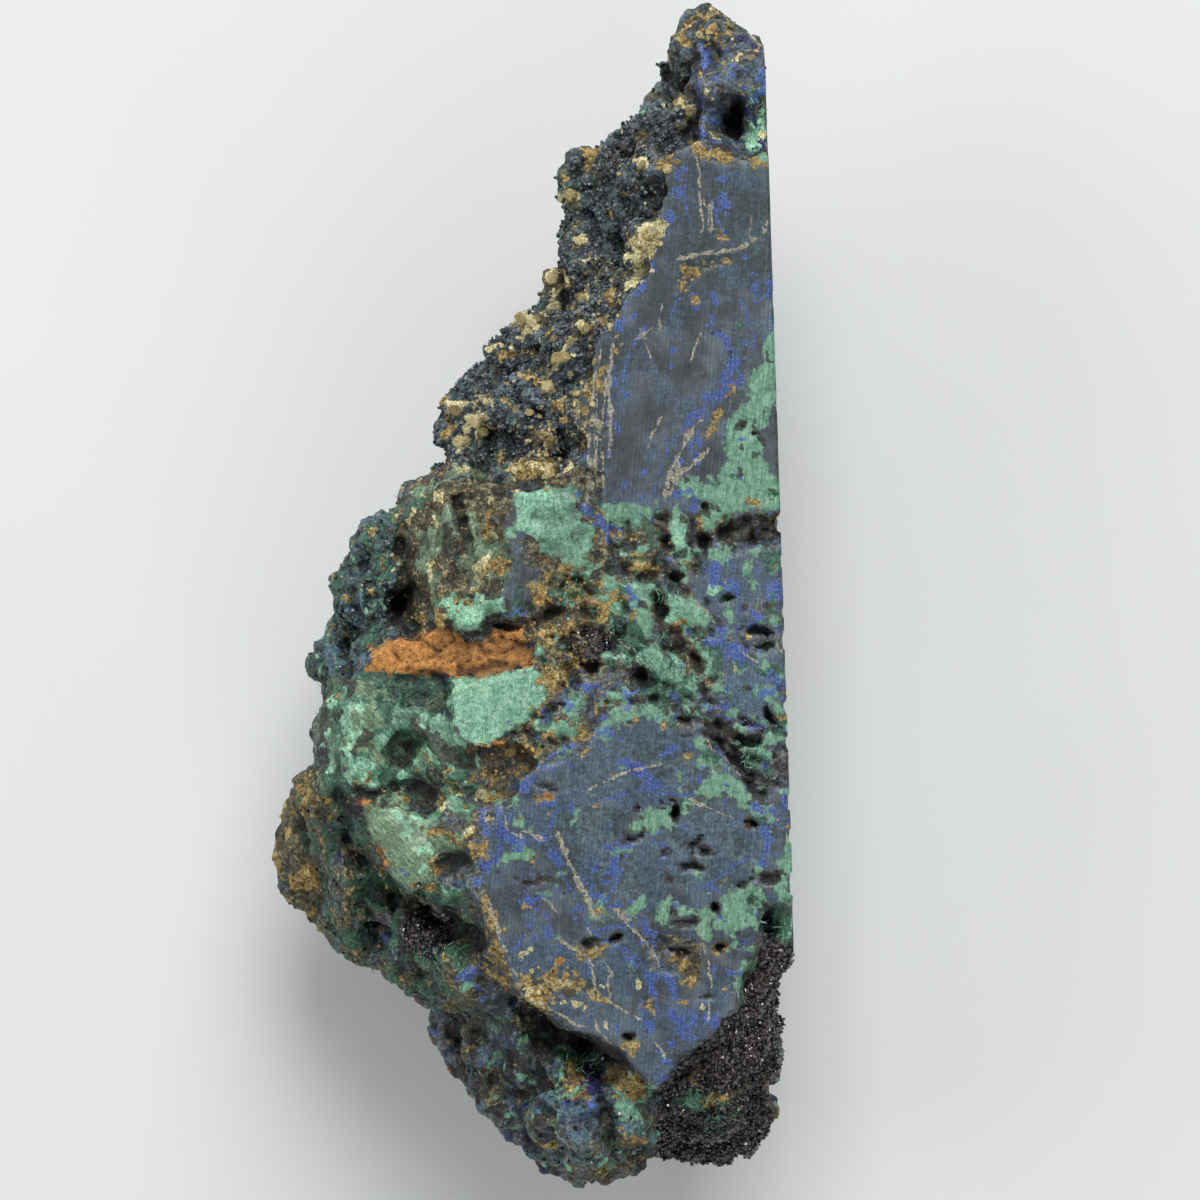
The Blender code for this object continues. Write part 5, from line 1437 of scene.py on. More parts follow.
def fine_relief(rock):
    """Small relief of the natural surfaces: fine beads, crags, grit, sharp druse and broken layers."""
    points = points_of(rock)
    normals = normals_of(rock)
    sawn, side, ground = flat_faces(points, normals)
    natural = np.where(~(sawn | side | ground))[0]
    seen = seen_places(points)
    gain = bead_gain(points, normals)
    rise = crag_rise(points, normals)
    druse = smooth_step(depth_inside(seen, DARK_DRUSE) / 0.6 + 0.5)
    layered = smooth_step(depth_inside(seen, RUST) / 0.5 + 0.5)
    moved = np.zeros(len(points))
    for index in natural:
        point = Vector(points[index])
        height = sum(noise.noise(point / size) * high for size, high in GRIT)
        height += crag_height(point, FINE_CRAG_SIZE) * 0.38 * min(rise[index], 0.0008)
        if druse[index] > 0.0:
            nearest = noise.voronoi(point / DRUSE_SPIKE_SIZE, distance_metric="DISTANCE", exponent=2.5)[0][0]
            height += (0.45 - nearest) * DRUSE_SPIKE_HEIGHT * druse[index]
        if gain[index] > 0.0:
            height += bead_height(point, FINE_BEADS) * gain[index]
        if layered[index] > 0.0:
            height += block_height(point) * PLATE_HEIGHT * layered[index]
        moved[index] = height
    points += normals * moved[:, None]
    points[:, 2] = np.maximum(points[:, 2], 0.0)
    set_points(rock, points)


def tear_soft_minerals(rock):
    """Lowers what the saw tore out of the face: hollows, crumbly earth, ochre and broken stretches."""
    points = points_of(rock)
    face = np.where((points[:, 2] > THICKNESS - 0.003) & (normals_of(rock)[:, 2] > -0.2))[0]
    seen = seen_places(points[face])
    drop = np.zeros(len(face))
    for name, depth in TORN_DEPTHS.items():
        drop = np.maximum(drop, depth * smooth_step(depth_inside(seen, MINERALS[name]) / 0.35 + 0.25))
    broken = smooth_step(-distance_to(seen, BROKEN_BAND, True) / PIXELS_PER_MM / 0.8 + 0.5)
    hard = smooth_step(depth_inside(seen, MALACHITE) / 0.3 + 0.3)
    crumb = np.array([noise.noise(Vector(point) / 0.0011) for point in points[face]])
    finer = np.array([noise.noise(Vector(point) / 0.0005) for point in points[face]])
    blocks = np.array([crag_height(Vector(point), 0.0020) for point in points[face]])
    drop *= np.clip(0.75 + 1.1 * crumb + 0.6 * finer, 0.0, 1.6)
    holes = smooth_step((crumb + 0.5 * finer - 0.02) / 0.35)
    drop += broken * (1.0 - 0.8 * hard) * (0.10 + 0.55 * holes)
    drawn = seen + warped(points[face], TORN_WARP)
    for outline, depth in TORN_PLACES:
        inside = -distance_to(drawn, outline, True) / PIXELS_PER_MM
        torn = depth * smooth_step(inside / 0.6 + 0.4) * np.clip(0.9 - 1.5 * blocks, 0.15, 2.0)
        drop = np.maximum(drop, torn)
    points[face, 2] = np.minimum(points[face, 2], THICKNESS - drop * MM)
    set_points(rock, points)


def sink_small_pits(rock):
    points = points_of(rock)
    where = places(seen_places(points)) + warped(points, *PIT_WARP)
    for pit in SMALL_PITS:
        share = pit_share(where, pit)
        share[points[:, 2] < THICKNESS * 0.8] = 0.0
        points[:, 2] -= share * pit[5] * MM
    set_points(rock, points)


def thin_back(rock, ratio):
    """Fewer faces on the back and sides, where no fine pattern is seen."""
    normals = normals_of(rock)
    group = rock.vertex_groups.new(name="back")
    group.add([int(index) for index in np.where(normals[:, 2] < 0.05)[0]], 1.0, "REPLACE")
    modifier = rock.modifiers.new("Decimate", "DECIMATE")
    modifier.ratio = ratio
    modifier.vertex_group = "back"
    choose(rock)
    bpy.ops.object.modifier_apply(modifier=modifier.name)
    rock.vertex_groups.clear()


def saw(rock, point, outward):
    """Cuts off all that lies past one flat face and closes the cut."""
    choose(rock)
    bpy.ops.object.mode_set(mode="EDIT")
    bpy.ops.mesh.select_all(action="SELECT")
    bpy.ops.mesh.bisect(plane_co=point, plane_no=outward, use_fill=True, clear_outer=True)
    bpy.ops.object.mode_set(mode="OBJECT")


def shift_to_frame(rock):
    points = points_of(rock)
    points[:, :2] += FRAME_SHIFT
    set_points(rock, points)


def linear(hexed):
    """sRGB hex to a linear colour with full alpha."""
    parts = [int(hexed[start:start + 2], 16) / 255.0 for start in (1, 3, 5)]
    parts = [part / 12.92 if part <= 0.04045 else ((part + 0.055) / 1.055) ** 2.4 for part in parts]
    return (*parts, 1.0)


def add(tree, kind, links=None, ramp=None, **settings):
    """Adds a node with its settings. links holds a socket or a value for each of its inputs."""
    node = tree.nodes.new("ShaderNode" + kind)
    for name, value in settings.items():
        setattr(node, name, value)
    if ramp:
        elements = node.color_ramp.elements
        elements.remove(elements[-1])
        elements[0].position, elements[0].color = ramp[0]
        for position, colour in ramp[1:]:
            elements.new(position).color = colour
    for name, value in (links or {}).items():
        if isinstance(value, bpy.types.NodeSocket):
            tree.links.new(value, node.inputs[name])
        else:
            node.inputs[name].default_value = value
    return node


def per_metre(size_mm):
    """Scale of a noise whose grains are this many millimetres across."""
    return 1.0 / (size_mm * MM)


# Each mineral's look, from the lowest layer up: softness of its edge, raggedness of it and size of
# that in mm, how much it covers, dark and pale tone, size of the mottling in mm, roughness, relief in mm
LAYERS = {
    "blue_slate": (2.0, 2.4, 0.8, 0.75, "#364249", "#6e848e", 0.35, 0.46, 0.0),
    "teal_slate": (2.4, 3.0, 0.9, 0.70, "#1e292e", "#465e66", 0.35, 0.46, 0.0),
    "olive_earth": (0.5, 2.2, 1.1, 0.88, "#302c1f", "#a29a74", 0.35, 0.85, 0.080),
    "blue_green_kidney": (0.9, 2.4, 1.1, 0.82, "#12262a", "#648f82", 0.45, 0.55, 0.050),
    "dark_druse": (0.8, 2.0, 0.8, 0.88, "#100c0c", "#665854", 0.30, 0.35, 0.080),
    "blue_veil": (1.6, 4.2, 0.45, 0.38, "#2b4360", "#7391b0", 0.22, 0.48, 0.0),
    "malachite": (0.10, 1.5, 1.1, 0.97, "#3c6e54", "#92bea2", 0.35, 0.58, 0.030),
    "deep_green": (0.4, 2.0, 0.8, 0.85, "#17382a", "#5a9076", 0.30, 0.50, 0.050),
    "silky_green": (0.30, 1.2, 1.1, 0.92, "#36483a", "#98ac84", 0.35, 0.45, 0.050),
    "pale_mint": (0.35, 1.2, 1.1, 0.92, "#4f8468", "#b4dcc0", 0.35, 0.55, 0.030),
    "indigo": (0.15, 1.2, 0.8, 1.00, "#11102a", "#34346e", 0.25, 0.35, 0.030),
    "bright_azurite": (0.20, 1.7, 0.80, 0.80, "#26367c", "#6884bc", 0.20, 0.42, 0.010),
    "blue_hairlines": (0.06, 0.16, 0.8, 0.85, "#26367c", "#6884bc", 0.20, 0.42, 0.0),
    "rust": (0.15, 1.0, 0.80, 1.00, "#85522e", "#ba8850", 0.45, 0.92, 0.026),
    "ochre": (0.25, 1.8, 0.80, 0.90, "#725e34", "#d4bc7e", 0.25, 0.92, 0.045),
    "tan_veins": (0.06, 0.20, 0.80, 0.92, "#7c7868", "#cecab4", 0.25, 0.70, 0.010),
    "cream": (0.10, 0.9, 0.80, 0.90, "#948a5e", "#e2dab0", 0.28, 0.82, 0.030),
    # dark: brown-black earth, and painted shade in pits, crevices and under ledges
    "dark": (0.30, 1.2, 0.80, 0.86, "#0e0c0b", "#5a4e42", 0.30, 0.75, 0.060),
}
VEINS = ("tan_veins", "blue_hairlines")
GRANULAR = ("olive_earth", "blue_green_kidney", "deep_green", "dark", "dark_druse")
SMOOTH = ("malachite", "silky_green", "pale_mint", "rust")
RIMMED = ("malachite", "deep_green", "ochre")
FIBROUS = ("malachite", "deep_green", "silky_green", "pale_mint")


def rock_material(colours):
    """Sawn copper ore: azurite, malachite and iron oxides, cut with a wet diamond saw and left unpolished.

    To the eye the cut is slate blue and half matt with fine saw lines, muted mint green where malachite
    runs through it, and the natural crust is darker, rougher, and glints where it is druse. Painted shade
    and dark stain darken its hollows, painted shade darkens the seams between its grains, and painted
    highlights brighten its crowns, the middles of its grains and a few grains as glints.
    """
    material = bpy.data.materials.new("sawn_copper_ore")
    material.use_nodes = True
    tree = material.node_tree
    shader = tree.nodes["Principled BSDF"]
    where = add(tree, "TexCoord").outputs["Object"]
    grains = {}
    for size_mm in sorted({look[6] for look in LAYERS.values()} | {0.14, 0.45, 0.6, 2.6}):
        links = {"Vector": where, "Scale": per_metre(size_mm), "Detail": 3.0, "Roughness": 0.65}
        grains[size_mm] = add(tree, "TexNoise", links).outputs["Fac"]
    edges = {}
    for size_mm in sorted({look[2] for look in LAYERS.values()}):
        links = {"Vector": where, "Scale": per_metre(size_mm), "Detail": 2.5, "Roughness": 0.48}
        edges[size_mm] = add(tree, "TexNoise", links).outputs["Fac"]
    along = add(tree, "Attribute", attribute_name="fibre").outputs["Vector"]
    fibres = add(tree, "TexNoise", {"Vector": along, "Scale": 1.0, "Detail": 2.0,
                                    "Roughness": 0.6}).outputs["Fac"]

    # Grains of the crust: painted shade darkens the seams between them, painted light brightens their
    # middles, and a few are painted brighter as glints
    grit = add(tree, "TexVoronoi", {"Vector": where, "Scale": per_metre(0.40)})
    seam = grit.outputs["Distance"]
    grain_painted_shading = add(tree, "MapRange", {"Value": seam, "From Min": 0.25, "From Max": 0.66, "To Min": 1.25,
                                     "To Max": 0.50})
    painted_glint = add(tree, "MapRange", {"Value": grit.outputs["Color"], "From Min": 0.74, "From Max": 0.78,
                                   "To Max": 1.1})
    grain_painted_shading = add(tree, "Math", {0: grain_painted_shading.outputs["Result"], 1: painted_glint.outputs["Result"]},
                  operation="ADD").outputs[0]

    # A softer version of the painted grain shading, for the granular minerals
    grain_painted_shading_soft = add(tree, "MapRange", {"Value": seam, "From Min": 0.25, "From Max": 0.66, "To Min": 1.15,
                                    "To Max": 0.68})
    grain_painted_shading_soft = grain_painted_shading_soft.outputs["Result"]

    # Slate-grey sawn azurite and the darker natural crust
    cut_ramp = ((0.34, linear("#32393f")), (0.50, linear("#474f56")), (0.64, linear("#5b6870")))
    crust_ramp = ((0.34, linear("#10161a")), (0.50, linear("#2d3a42")), (0.64, linear("#6a7a82")))
    cut = add(tree, "ValToRGB", {"Fac": grains[2.6]}, cut_ramp).outputs["Color"]
    crust = add(tree, "ValToRGB", {"Fac": grains[0.6]}, crust_ramp).outputs["Color"]
    sawn = add(tree, "Attribute", attribute_name="sawn").outputs["Fac"]
    hollow = add(tree, "Attribute", attribute_name="hollow").outputs["Fac"]
    stain = add(tree, "MapRange", {"Value": grains[0.6], "From Min": 0.46, "From Max": 0.62, "To Max": 0.40})
    links = {"Fac": stain.outputs["Result"], "Color1": crust, "Color2": linear("#5c4f30")}
    crust = add(tree, "MixRGB", links).outputs["Color"]
    # The crust's colour carries the painted grain shading and the painted glints
    crust = add(tree, "VectorMath", {0: crust, "Scale": grain_painted_shading}, operation="SCALE").outputs["Vector"]
    colour = add(tree, "MixRGB", {"Fac": sawn, "Color1": crust, "Color2": cut}).outputs["Color"]
    roughness = add(tree, "MapRange", {"Value": sawn, "To Min": 0.55, "To Max": 0.46}).outputs["Result"]

    # Saw lines, a third of a millimetre apart, along the length of the cut
    turned = add(tree, "Mapping", {"Vector": where,
                                   "Rotation": (0.0, 0.0, math.radians(5.0))}).outputs["Vector"]
    links = {"Vector": turned, "Scale": 0.314 / (0.36 * MM), "Distortion": 1.2, "Detail": 2.0,
             "Detail Scale": 0.3}
    lines = add(tree, "TexWave", links).outputs["Fac"]
    drawn_out = add(tree, "Mapping", {"Vector": turned, "Scale": (1.0, 0.035, 1.0)}).outputs["Vector"]
    scratches = add(tree, "TexNoise", {"Vector": drawn_out, "Scale": per_metre(0.22),
                                       "Detail": 2.0}).outputs["Fac"]
    cut_height = add(tree, "Math", {0: lines, 1: 0.010}, operation="MULTIPLY").outputs[0]
    crust_height = add(tree, "Math", {0: grains[0.45], 1: 0.24}, operation="MULTIPLY").outputs[0]
    crust_height = add(tree, "Math", {0: seam, 1: -0.11, 2: crust_height},
                       operation="MULTIPLY_ADD").outputs[0]
    height = add(tree, "MapRange", {"Value": sawn, "To Min": crust_height,
                                    "To Max": cut_height}).outputs["Result"]

    for name, look in LAYERS.items():
        soft, ragged, grain_mm, cover, dark, pale, mottle_mm, rough, relief = look
        inside = add(tree, "Attribute", attribute_name=name).outputs["Fac"]
        if name in VEINS:
            offset = add(tree, "Attribute", attribute_name=name + "_across").outputs["Fac"]
            offset = add(tree, "Math", {0: offset}, operation="ABSOLUTE").outputs[0]
            half = add(tree, "Attribute", attribute_name=name + "_half").outputs["Fac"]
            swell = add(tree, "MapRange", {"Value": grains[0.6], "From Min": 0.42, "From Max": 0.60,
                                           "To Min": 0.25, "To Max": 1.1})
            half = add(tree, "Math", {0: half, 1: swell.outputs["Result"]}, operation="MULTIPLY").outputs[0]
            across = add(tree, "Math", {0: half, 1: offset}, operation="SUBTRACT").outputs[0]
            reach = add(tree, "Math", {0: inside, 1: 0.15}, operation="ADD").outputs[0]
            inside = add(tree, "Math", {0: across, 1: reach}, operation="MINIMUM").outputs[0]
        edge = add(tree, "MapRange", {"Value": edges[grain_mm], "To Min": -ragged, "To Max": ragged})
        level = add(tree, "Math", {0: inside, 1: edge.outputs["Result"]}, operation="ADD").outputs[0]
        links = {"Value": level, "From Min": -soft / 2.0, "From Max": soft / 2.0, "To Max": cover}
        mask = add(tree, "MapRange", links, interpolation_type="SMOOTHSTEP").outputs["Result"]
        main = (*getattr(colours, name), 1.0)
        ramp = ((0.36, linear(dark)), (0.50, main), (0.66, linear(pale)))
        mottle = grains[mottle_mm]
        if name in FIBROUS:
            mottle = add(tree, "MapRange", {"Value": 0.30 if name == "pale_mint" else 0.5, "To Min": mottle,
                                            "To Max": fibres}).outputs["Result"]
        tone = add(tree, "ValToRGB", {"Fac": mottle}, ramp).outputs["Color"]
        # Granular minerals carry painted shade between their grains; the druse also carries the painted
        # glints
        if name in GRANULAR:
            grain = grain_painted_shading if name == "dark_druse" else grain_painted_shading_soft
            tone = add(tree, "VectorMath", {0: tone, "Scale": grain}, operation="SCALE").outputs["Vector"]
        if name in RIMMED:
            rim = add(tree, "MapRange", {"Value": level, "From Max": 0.35, "To Min": 0.55,
                                         "To Max": 1.0}).outputs["Result"]
            tone = add(tree, "VectorMath", {0: tone, "Scale": rim}, operation="SCALE").outputs["Vector"]
        colour = add(tree, "MixRGB", {"Fac": mask, "Color1": colour, "Color2": tone}).outputs["Color"]
        links = {"Value": mask, "To Min": roughness, "To Max": rough}
        roughness = add(tree, "MapRange", links).outputs["Result"]
        if name in SMOOTH:
            calm = add(tree, "Math", {0: height, 1: 0.3}, operation="MULTIPLY").outputs[0]
            calm = add(tree, "MapRange", {"Value": sawn, "To Min": calm, "To Max": height}).outputs["Result"]
            height = add(tree, "MapRange", {"Value": mask, "To Min": height,
                                            "To Max": calm}).outputs["Result"]
        if name == "malachite":
            green = add(tree, "Math", {0: mask, 1: 0.65}, operation="MULTIPLY").outputs[0]
        rise = add(tree, "Math", {0: mask, 1: relief}, operation="MULTIPLY").outputs[0]
        height = add(tree, "Math", {0: mottle, 1: rise, 2: height}, operation="MULTIPLY_ADD").outputs[0]

    # Saw lines show as faint stripes, and fine dark specks lie over every mineral
    stripe = add(tree, "MapRange", {"Value": lines, "To Min": 0.84, "To Max": 1.04}).outputs["Result"]
    scratch = add(tree, "MapRange", {"Value": scratches, "From Min": 0.34, "From Max": 0.62, "To Min": 0.86,
                                     "To Max": 1.12})
    stripe = add(tree, "Math", {0: stripe, 1: scratch.outputs["Result"]}, operation="MULTIPLY").outputs[0]
    stripe = add(tree, "MapRange", {"Value": green, "To Min": stripe, "To Max": 1.0}).outputs["Result"]
    stripe = add(tree, "MapRange", {"Value": sawn, "To Min": 1.0, "To Max": stripe}).outputs["Result"]
    least = add(tree, "MapRange", {"Value": sawn, "To Min": 0.45, "To Max": 0.72}).outputs["Result"]
    links = {"Value": grains[0.14], "From Min": 0.33, "From Max": 0.58, "To Min": least, "To Max": 1.1}
    speck = add(tree, "MapRange", links)
    shade = add(tree, "Math", {0: stripe, 1: speck.outputs["Result"]}, operation="MULTIPLY").outputs[0]

    # Painted shade and dark stain darken the hollows, and a painted highlight makes the crowns paler
    hollow_painted_shade = add(tree, "MapRange", {"Value": hollow, "From Min": 0.03, "From Max": 0.80, "To Min": 1.0,
                                  "To Max": 0.28})
    crown_painted_highlight = add(tree, "MapRange", {"Value": sawn, "To Min": 1.5, "To Max": 1.05}).outputs["Result"]
    crown = add(tree, "MapRange", {"Value": hollow, "From Min": -0.35, "From Max": -0.02, "To Min": crown_painted_highlight,
                                   "To Max": 1.0})
    shade = add(tree, "Math", {0: shade, 1: hollow_painted_shade.outputs["Result"]}, operation="MULTIPLY").outputs[0]
    shade = add(tree, "Math", {0: shade, 1: crown.outputs["Result"]}, operation="MULTIPLY").outputs[0]
    colour = add(tree, "VectorMath", {0: colour, "Scale": shade}, operation="SCALE").outputs["Vector"]

    tree.links.new(colour, shader.inputs["Base Color"])
    tree.links.new(roughness, shader.inputs["Roughness"])
    shader.inputs["IOR"].default_value = 1.6
    bump = add(tree, "Bump", {"Height": height, "Distance": MM, "Strength": 1.0})
    tree.links.new(bump.outputs["Normal"], shader.inputs["Normal"])
    return material


# Crystals and crumbs: dark, middle and pale tone, roughness
CRYSTAL_FINISHES = {
    "azurite_crust_beads": (("#12181b", "#35424a", "#7c8a90"), 0.42),
    "malachite_needles": (("#12402c", "#3f8464", "#a8dcc0"), 0.30),
    "azurite_points": (("#0c0a0a", "#332b2b", "#786c6c"), 0.14),
    "ochre_crumbs": (("#5e4c28", "#9a8044", "#ceb474"), 0.92),
    "khaki_grains": (("#84744a", "#b8a66e", "#dccb98"), 0.80),
}


def crystal_material(name):
    """Tiny crystals or crumbs of one mineral, grown freely: each one a slightly different tone."""
    tones, rough = CRYSTAL_FINISHES[name]
    material = bpy.data.materials.new(name)
    material.use_nodes = True
    tree = material.node_tree
    shader = tree.nodes["Principled BSDF"]
    tint = add(tree, "Attribute", attribute_name="tint").outputs["Fac"]
    ramp = tuple(zip((0.05, 0.5, 0.95), (linear(tone) for tone in tones)))
    colour = add(tree, "ValToRGB", {"Fac": tint}, ramp).outputs["Color"]
    where = add(tree, "TexCoord").outputs["Object"]
    grain = add(tree, "TexNoise", {"Vector": where, "Scale": per_metre(0.15), "Detail": 2.0}).outputs["Fac"]
    shade = add(tree, "ValToRGB", {"Fac": grain}, ((0.35, linear("#909090")), (0.60, linear("#ffffff"))))
    colour = add(tree, "MixRGB", {"Fac": 0.7, "Color1": colour, "Color2": shade.outputs["Color"]},
                 blend_type="MULTIPLY").outputs["Color"]
    tree.links.new(colour, shader.inputs["Base Color"])
    shader.inputs["Roughness"].default_value = rough
    shader.inputs["IOR"].default_value = 1.7
    return material


def finish_piece(piece, material):
    piece.data.materials.clear()
    piece.data.materials.append(material)
    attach(piece, "root")


def make_surface(sizes, colours):
    noise.seed_set(NOISE_SEED)
    rock = make_slab("azurite_rock_surface", sizes.slab_grain)
    shape_front_and_back(rock)
    remesh(rock, sizes.lump_grain)
    grow_lumps(rock)
    open_hollows(rock)
    cut_point, outward = side_cut()
    saw(rock, (0.0, 0.0, THICKNESS), (0.0, 0.0, 1.0))
    saw(rock, (*cut_point, 0.0), (*outward, 0.0))
    saw(rock, (0.0, 0.0, 0.0), (0.0, 0.0, -1.0))
    remesh(rock, sizes.surface_grain)
    snap_flat(rock)
    fine_relief(rock)
    tear_soft_minerals(rock)
    sink_small_pits(rock)
    chip_edge(rock)
    thin_back(rock, sizes.back_share)
    paint(rock)
    shift_to_frame(rock)
    choose(rock)
    bpy.ops.object.shade_smooth()
    rock.data.name = rock.name
    finish_piece(rock, rock_material(colours))
    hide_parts("azurite_rock")
    return rock


def levels_of(rock, name):
    found = np.empty(len(rock.data.vertices), np.float32)
    rock.data.attributes[name].data.foreach_get("value", found)
    return found


def seats(rock, mineral, least, count, seed):
    """Places and normals on the natural front, where a mineral lies at least this deep inside, in mm."""
    points = points_of(rock)
    normals = normals_of(rock)
    fit = (levels_of(rock, mineral) > least) & (levels_of(rock, "sawn") < 0.5) & (points[:, 2] > 0.006)
    fit = np.where(fit & (normals[:, 2] > 0.25))[0]
    picked = np.random.default_rng(seed).choice(fit, min(count, len(fit)), replace=False)
    return points[picked], normals[picked]


def seats_at(rock, spots):
    """The point and normal of the front surface seen at each (u, v), highest first."""
    points = points_of(rock)
    points[:, :2] -= FRAME_SHIFT
    seen = seen_places(points)
    found = []
    for u, v in spots:
        near = np.where(np.hypot(seen[:, 0] - u, seen[:, 1] - v) < 4.0)[0]
        if len(near):
            found.append(near[np.argmax(points[near, 2])])
    return points_of(rock)[found], normals_of(rock)[found]


def template(sides, waist, blunt):
    """A crystal one unit long and wide, standing on the origin: prism to its waist, then a point."""
    clear_selection()
    bpy.ops.mesh.primitive_cylinder_add(vertices=sides, radius=0.5, depth=1.0, end_fill_type="NGON")
    crystal = bpy.context.object
    choose(crystal)
    bpy.ops.object.mode_set(mode="EDIT")
    bpy.ops.mesh.select_mode(type="FACE")
    bpy.ops.mesh.select_all(action="DESELECT")
    bpy.ops.object.mode_set(mode="OBJECT")
    for face in crystal.data.polygons:
        face.select = face.normal.z > 0.9
    bpy.ops.object.mode_set(mode="EDIT")
    bpy.ops.transform.translate(value=(0.0, 0.0, waist - 1.0))
    bpy.ops.mesh.extrude_region_move(TRANSFORM_OT_translate={"value": (0.0, 0.0, 1.0 - waist)})
    bpy.ops.transform.resize(value=(blunt, blunt, 1.0))
    bpy.ops.object.mode_set(mode="OBJECT")
    corners = points_of(crystal) + np.array((0.0, 0.0, 0.35))
    faces = [tuple(face.vertices) for face in crystal.data.polygons]
    bpy.data.objects.remove(crystal, do_unlink=True)
    return corners, faces


def sow(name, shape, places_and_normals, lengths, widths, tilt, seed, uneven=0.0):
    """One mesh of many crystals, each on its own seat, with its own length, width, turn and tint."""
    corners, faces = shape
    seats_at, normals = places_and_normals
    rng = np.random.default_rng(seed)
    count = len(seats_at)
    upward = normals + rng.normal(0.0, tilt, (count, 3))
    upward /= np.linalg.norm(upward, axis=1)[:, None]
    across = np.cross(upward, rng.normal(0.0, 1.0, (count, 3)))
    across /= np.linalg.norm(across, axis=1)[:, None]
    third = np.cross(upward, across)
    lengths = rng.uniform(0.5, 1.2, count) * lengths
    widths = rng.uniform(0.6, 1.2, count) * widths
    thicknesses = widths * rng.uniform(0.55, 1.0, count)
    stretched = corners[None, :, :] * (1.0 + rng.normal(0.0, uneven, (count, len(corners), 3)))
    made = (stretched[:, :, 0, None] * (across * widths[:, None])[:, None, :]
            + stretched[:, :, 1, None] * (third * thicknesses[:, None])[:, None, :]
            + stretched[:, :, 2, None] * (upward * lengths[:, None])[:, None, :]
            + seats_at[:, None, :]).reshape(-1, 3)
    all_faces = [tuple(corner + step * len(corners) for corner in face)
                 for step in range(count) for face in faces]
    mesh = bpy.data.meshes.new(name)
    mesh.from_pydata(made.tolist(), [], all_faces)
    crop = bpy.data.objects.new(name, mesh)
    bpy.context.scene.collection.objects.link(crop)
    store(crop, "tint", np.repeat(rng.uniform(0.0, 1.0, count), len(corners)))
    finish_piece(crop, crystal_material(name))
    return crop


def stacked(*groups):
    return np.concatenate([group[0] for group in groups]), np.concatenate([group[1] for group in groups])


class SpecimenSizes(bpy.types.PropertyGroup):
    """How finely the rock is worked, and how large its crystals are"""

    slab_grain: bpy.props.FloatProperty(
        name="Slab grain", description="Size of the first mesh's faces", default=0.00062, unit="LENGTH")
    lump_grain: bpy.props.FloatProperty(
        name="Lump grain", description="Size of the faces that carry the lumps", default=0.00048,
        unit="LENGTH")
    surface_grain: bpy.props.FloatProperty(
        name="Surface grain", description="Size of the finished faces", default=0.00031, unit="LENGTH")
    back_share: bpy.props.FloatProperty(
        name="Share kept behind", description="Share of all faces kept after the back is thinned",
        default=0.47, subtype="FACTOR")
    bead_size: bpy.props.FloatProperty(
        name="Bead size", description="Size of a small bead of the crust", default=0.00046, unit="LENGTH")
    needle_length: bpy.props.FloatProperty(
        name="Needle length", description="Length of a malachite needle", default=0.0009, unit="LENGTH")
    point_size: bpy.props.FloatProperty(
        name="Point size", description="Size of an azurite point", default=0.00042, unit="LENGTH")
    crumb_size: bpy.props.FloatProperty(
        name="Crumb size", description="Size of an ochre crumb", default=0.00034, unit="LENGTH")
    grain_size: bpy.props.FloatProperty(
        name="Grain size", description="Size of a small khaki grain", default=0.00048, unit="LENGTH")


def tint(label, says, hexed):
    """A colour that the panel shows."""
    return bpy.props.FloatVectorProperty(
        name=label, description=says, subtype="COLOR", size=3, min=0.0, max=1.0, default=linear(hexed)[:3])


class SpecimenColours(bpy.types.PropertyGroup):
    """The middle tone of each mineral, and the floor's colour"""

    blue_slate: tint("Blue slate", "Bluer parts of the sawn azurite", "#506069")
    teal_slate: tint("Teal slate", "Greener parts of the sawn azurite", "#2f4047")
    olive_earth: tint("Olive earth", "Earthy crust of the upper left", "#5c563c")
    blue_green_kidney: tint("Blue-green kidneys", "Round growths of the left edge", "#30504c")
    dark_druse: tint("Dark druse", "Crust of tiny dark crystals", "#352c2b")
    deep_green: tint("Deep green", "Malachite in the shade of hollows", "#2a5a44")
    blue_veil: tint("Blue veil", "Azurite dust over the sawn face", "#486480")
    malachite: tint("Malachite", "Mint-green sawn malachite", "#6c9a80")
    silky_green: tint("Silky green", "Olive-green silky malachite", "#60785e")
    pale_mint: tint("Pale mint", "Palest velvety malachite", "#82b696")
    indigo: tint("Indigo", "Darkest pure azurite", "#1e1d46")
    bright_azurite: tint("Bright azurite", "Royal-blue azurite", "#3d59a2")
    blue_hairlines: tint("Blue hairlines", "Thin azurite veins in the sawn face", "#3d59a2")
    rust: tint("Rust", "Iron-oxide ledge", "#ac783a")
    ochre: tint("Ochre", "Limonite", "#a0864c")
    tan_veins: tint("Tan veins", "Thin carbonate veins in the sawn face", "#928c78")
    cream: tint("Cream", "Pale carbonate grains", "#c2b886")
    # Dark is also painted shade in pits, crevices and under ledge edges
    dark: tint("Dark", "Hollows and manganese stain", "#2b251f")
    floor: tint("Floor", "Pale studio floor", "#eceeed")


class SPECIMEN_OT_surface(bpy.types.Operator):
    """Builds the rock's whole surface and its minerals"""

    bl_idname = "specimen.surface"
    bl_label = "Rock surface"

    def execute(self, context):
        make_surface(context.scene.specimen_sizes, context.scene.specimen_colours)
        return {"FINISHED"}


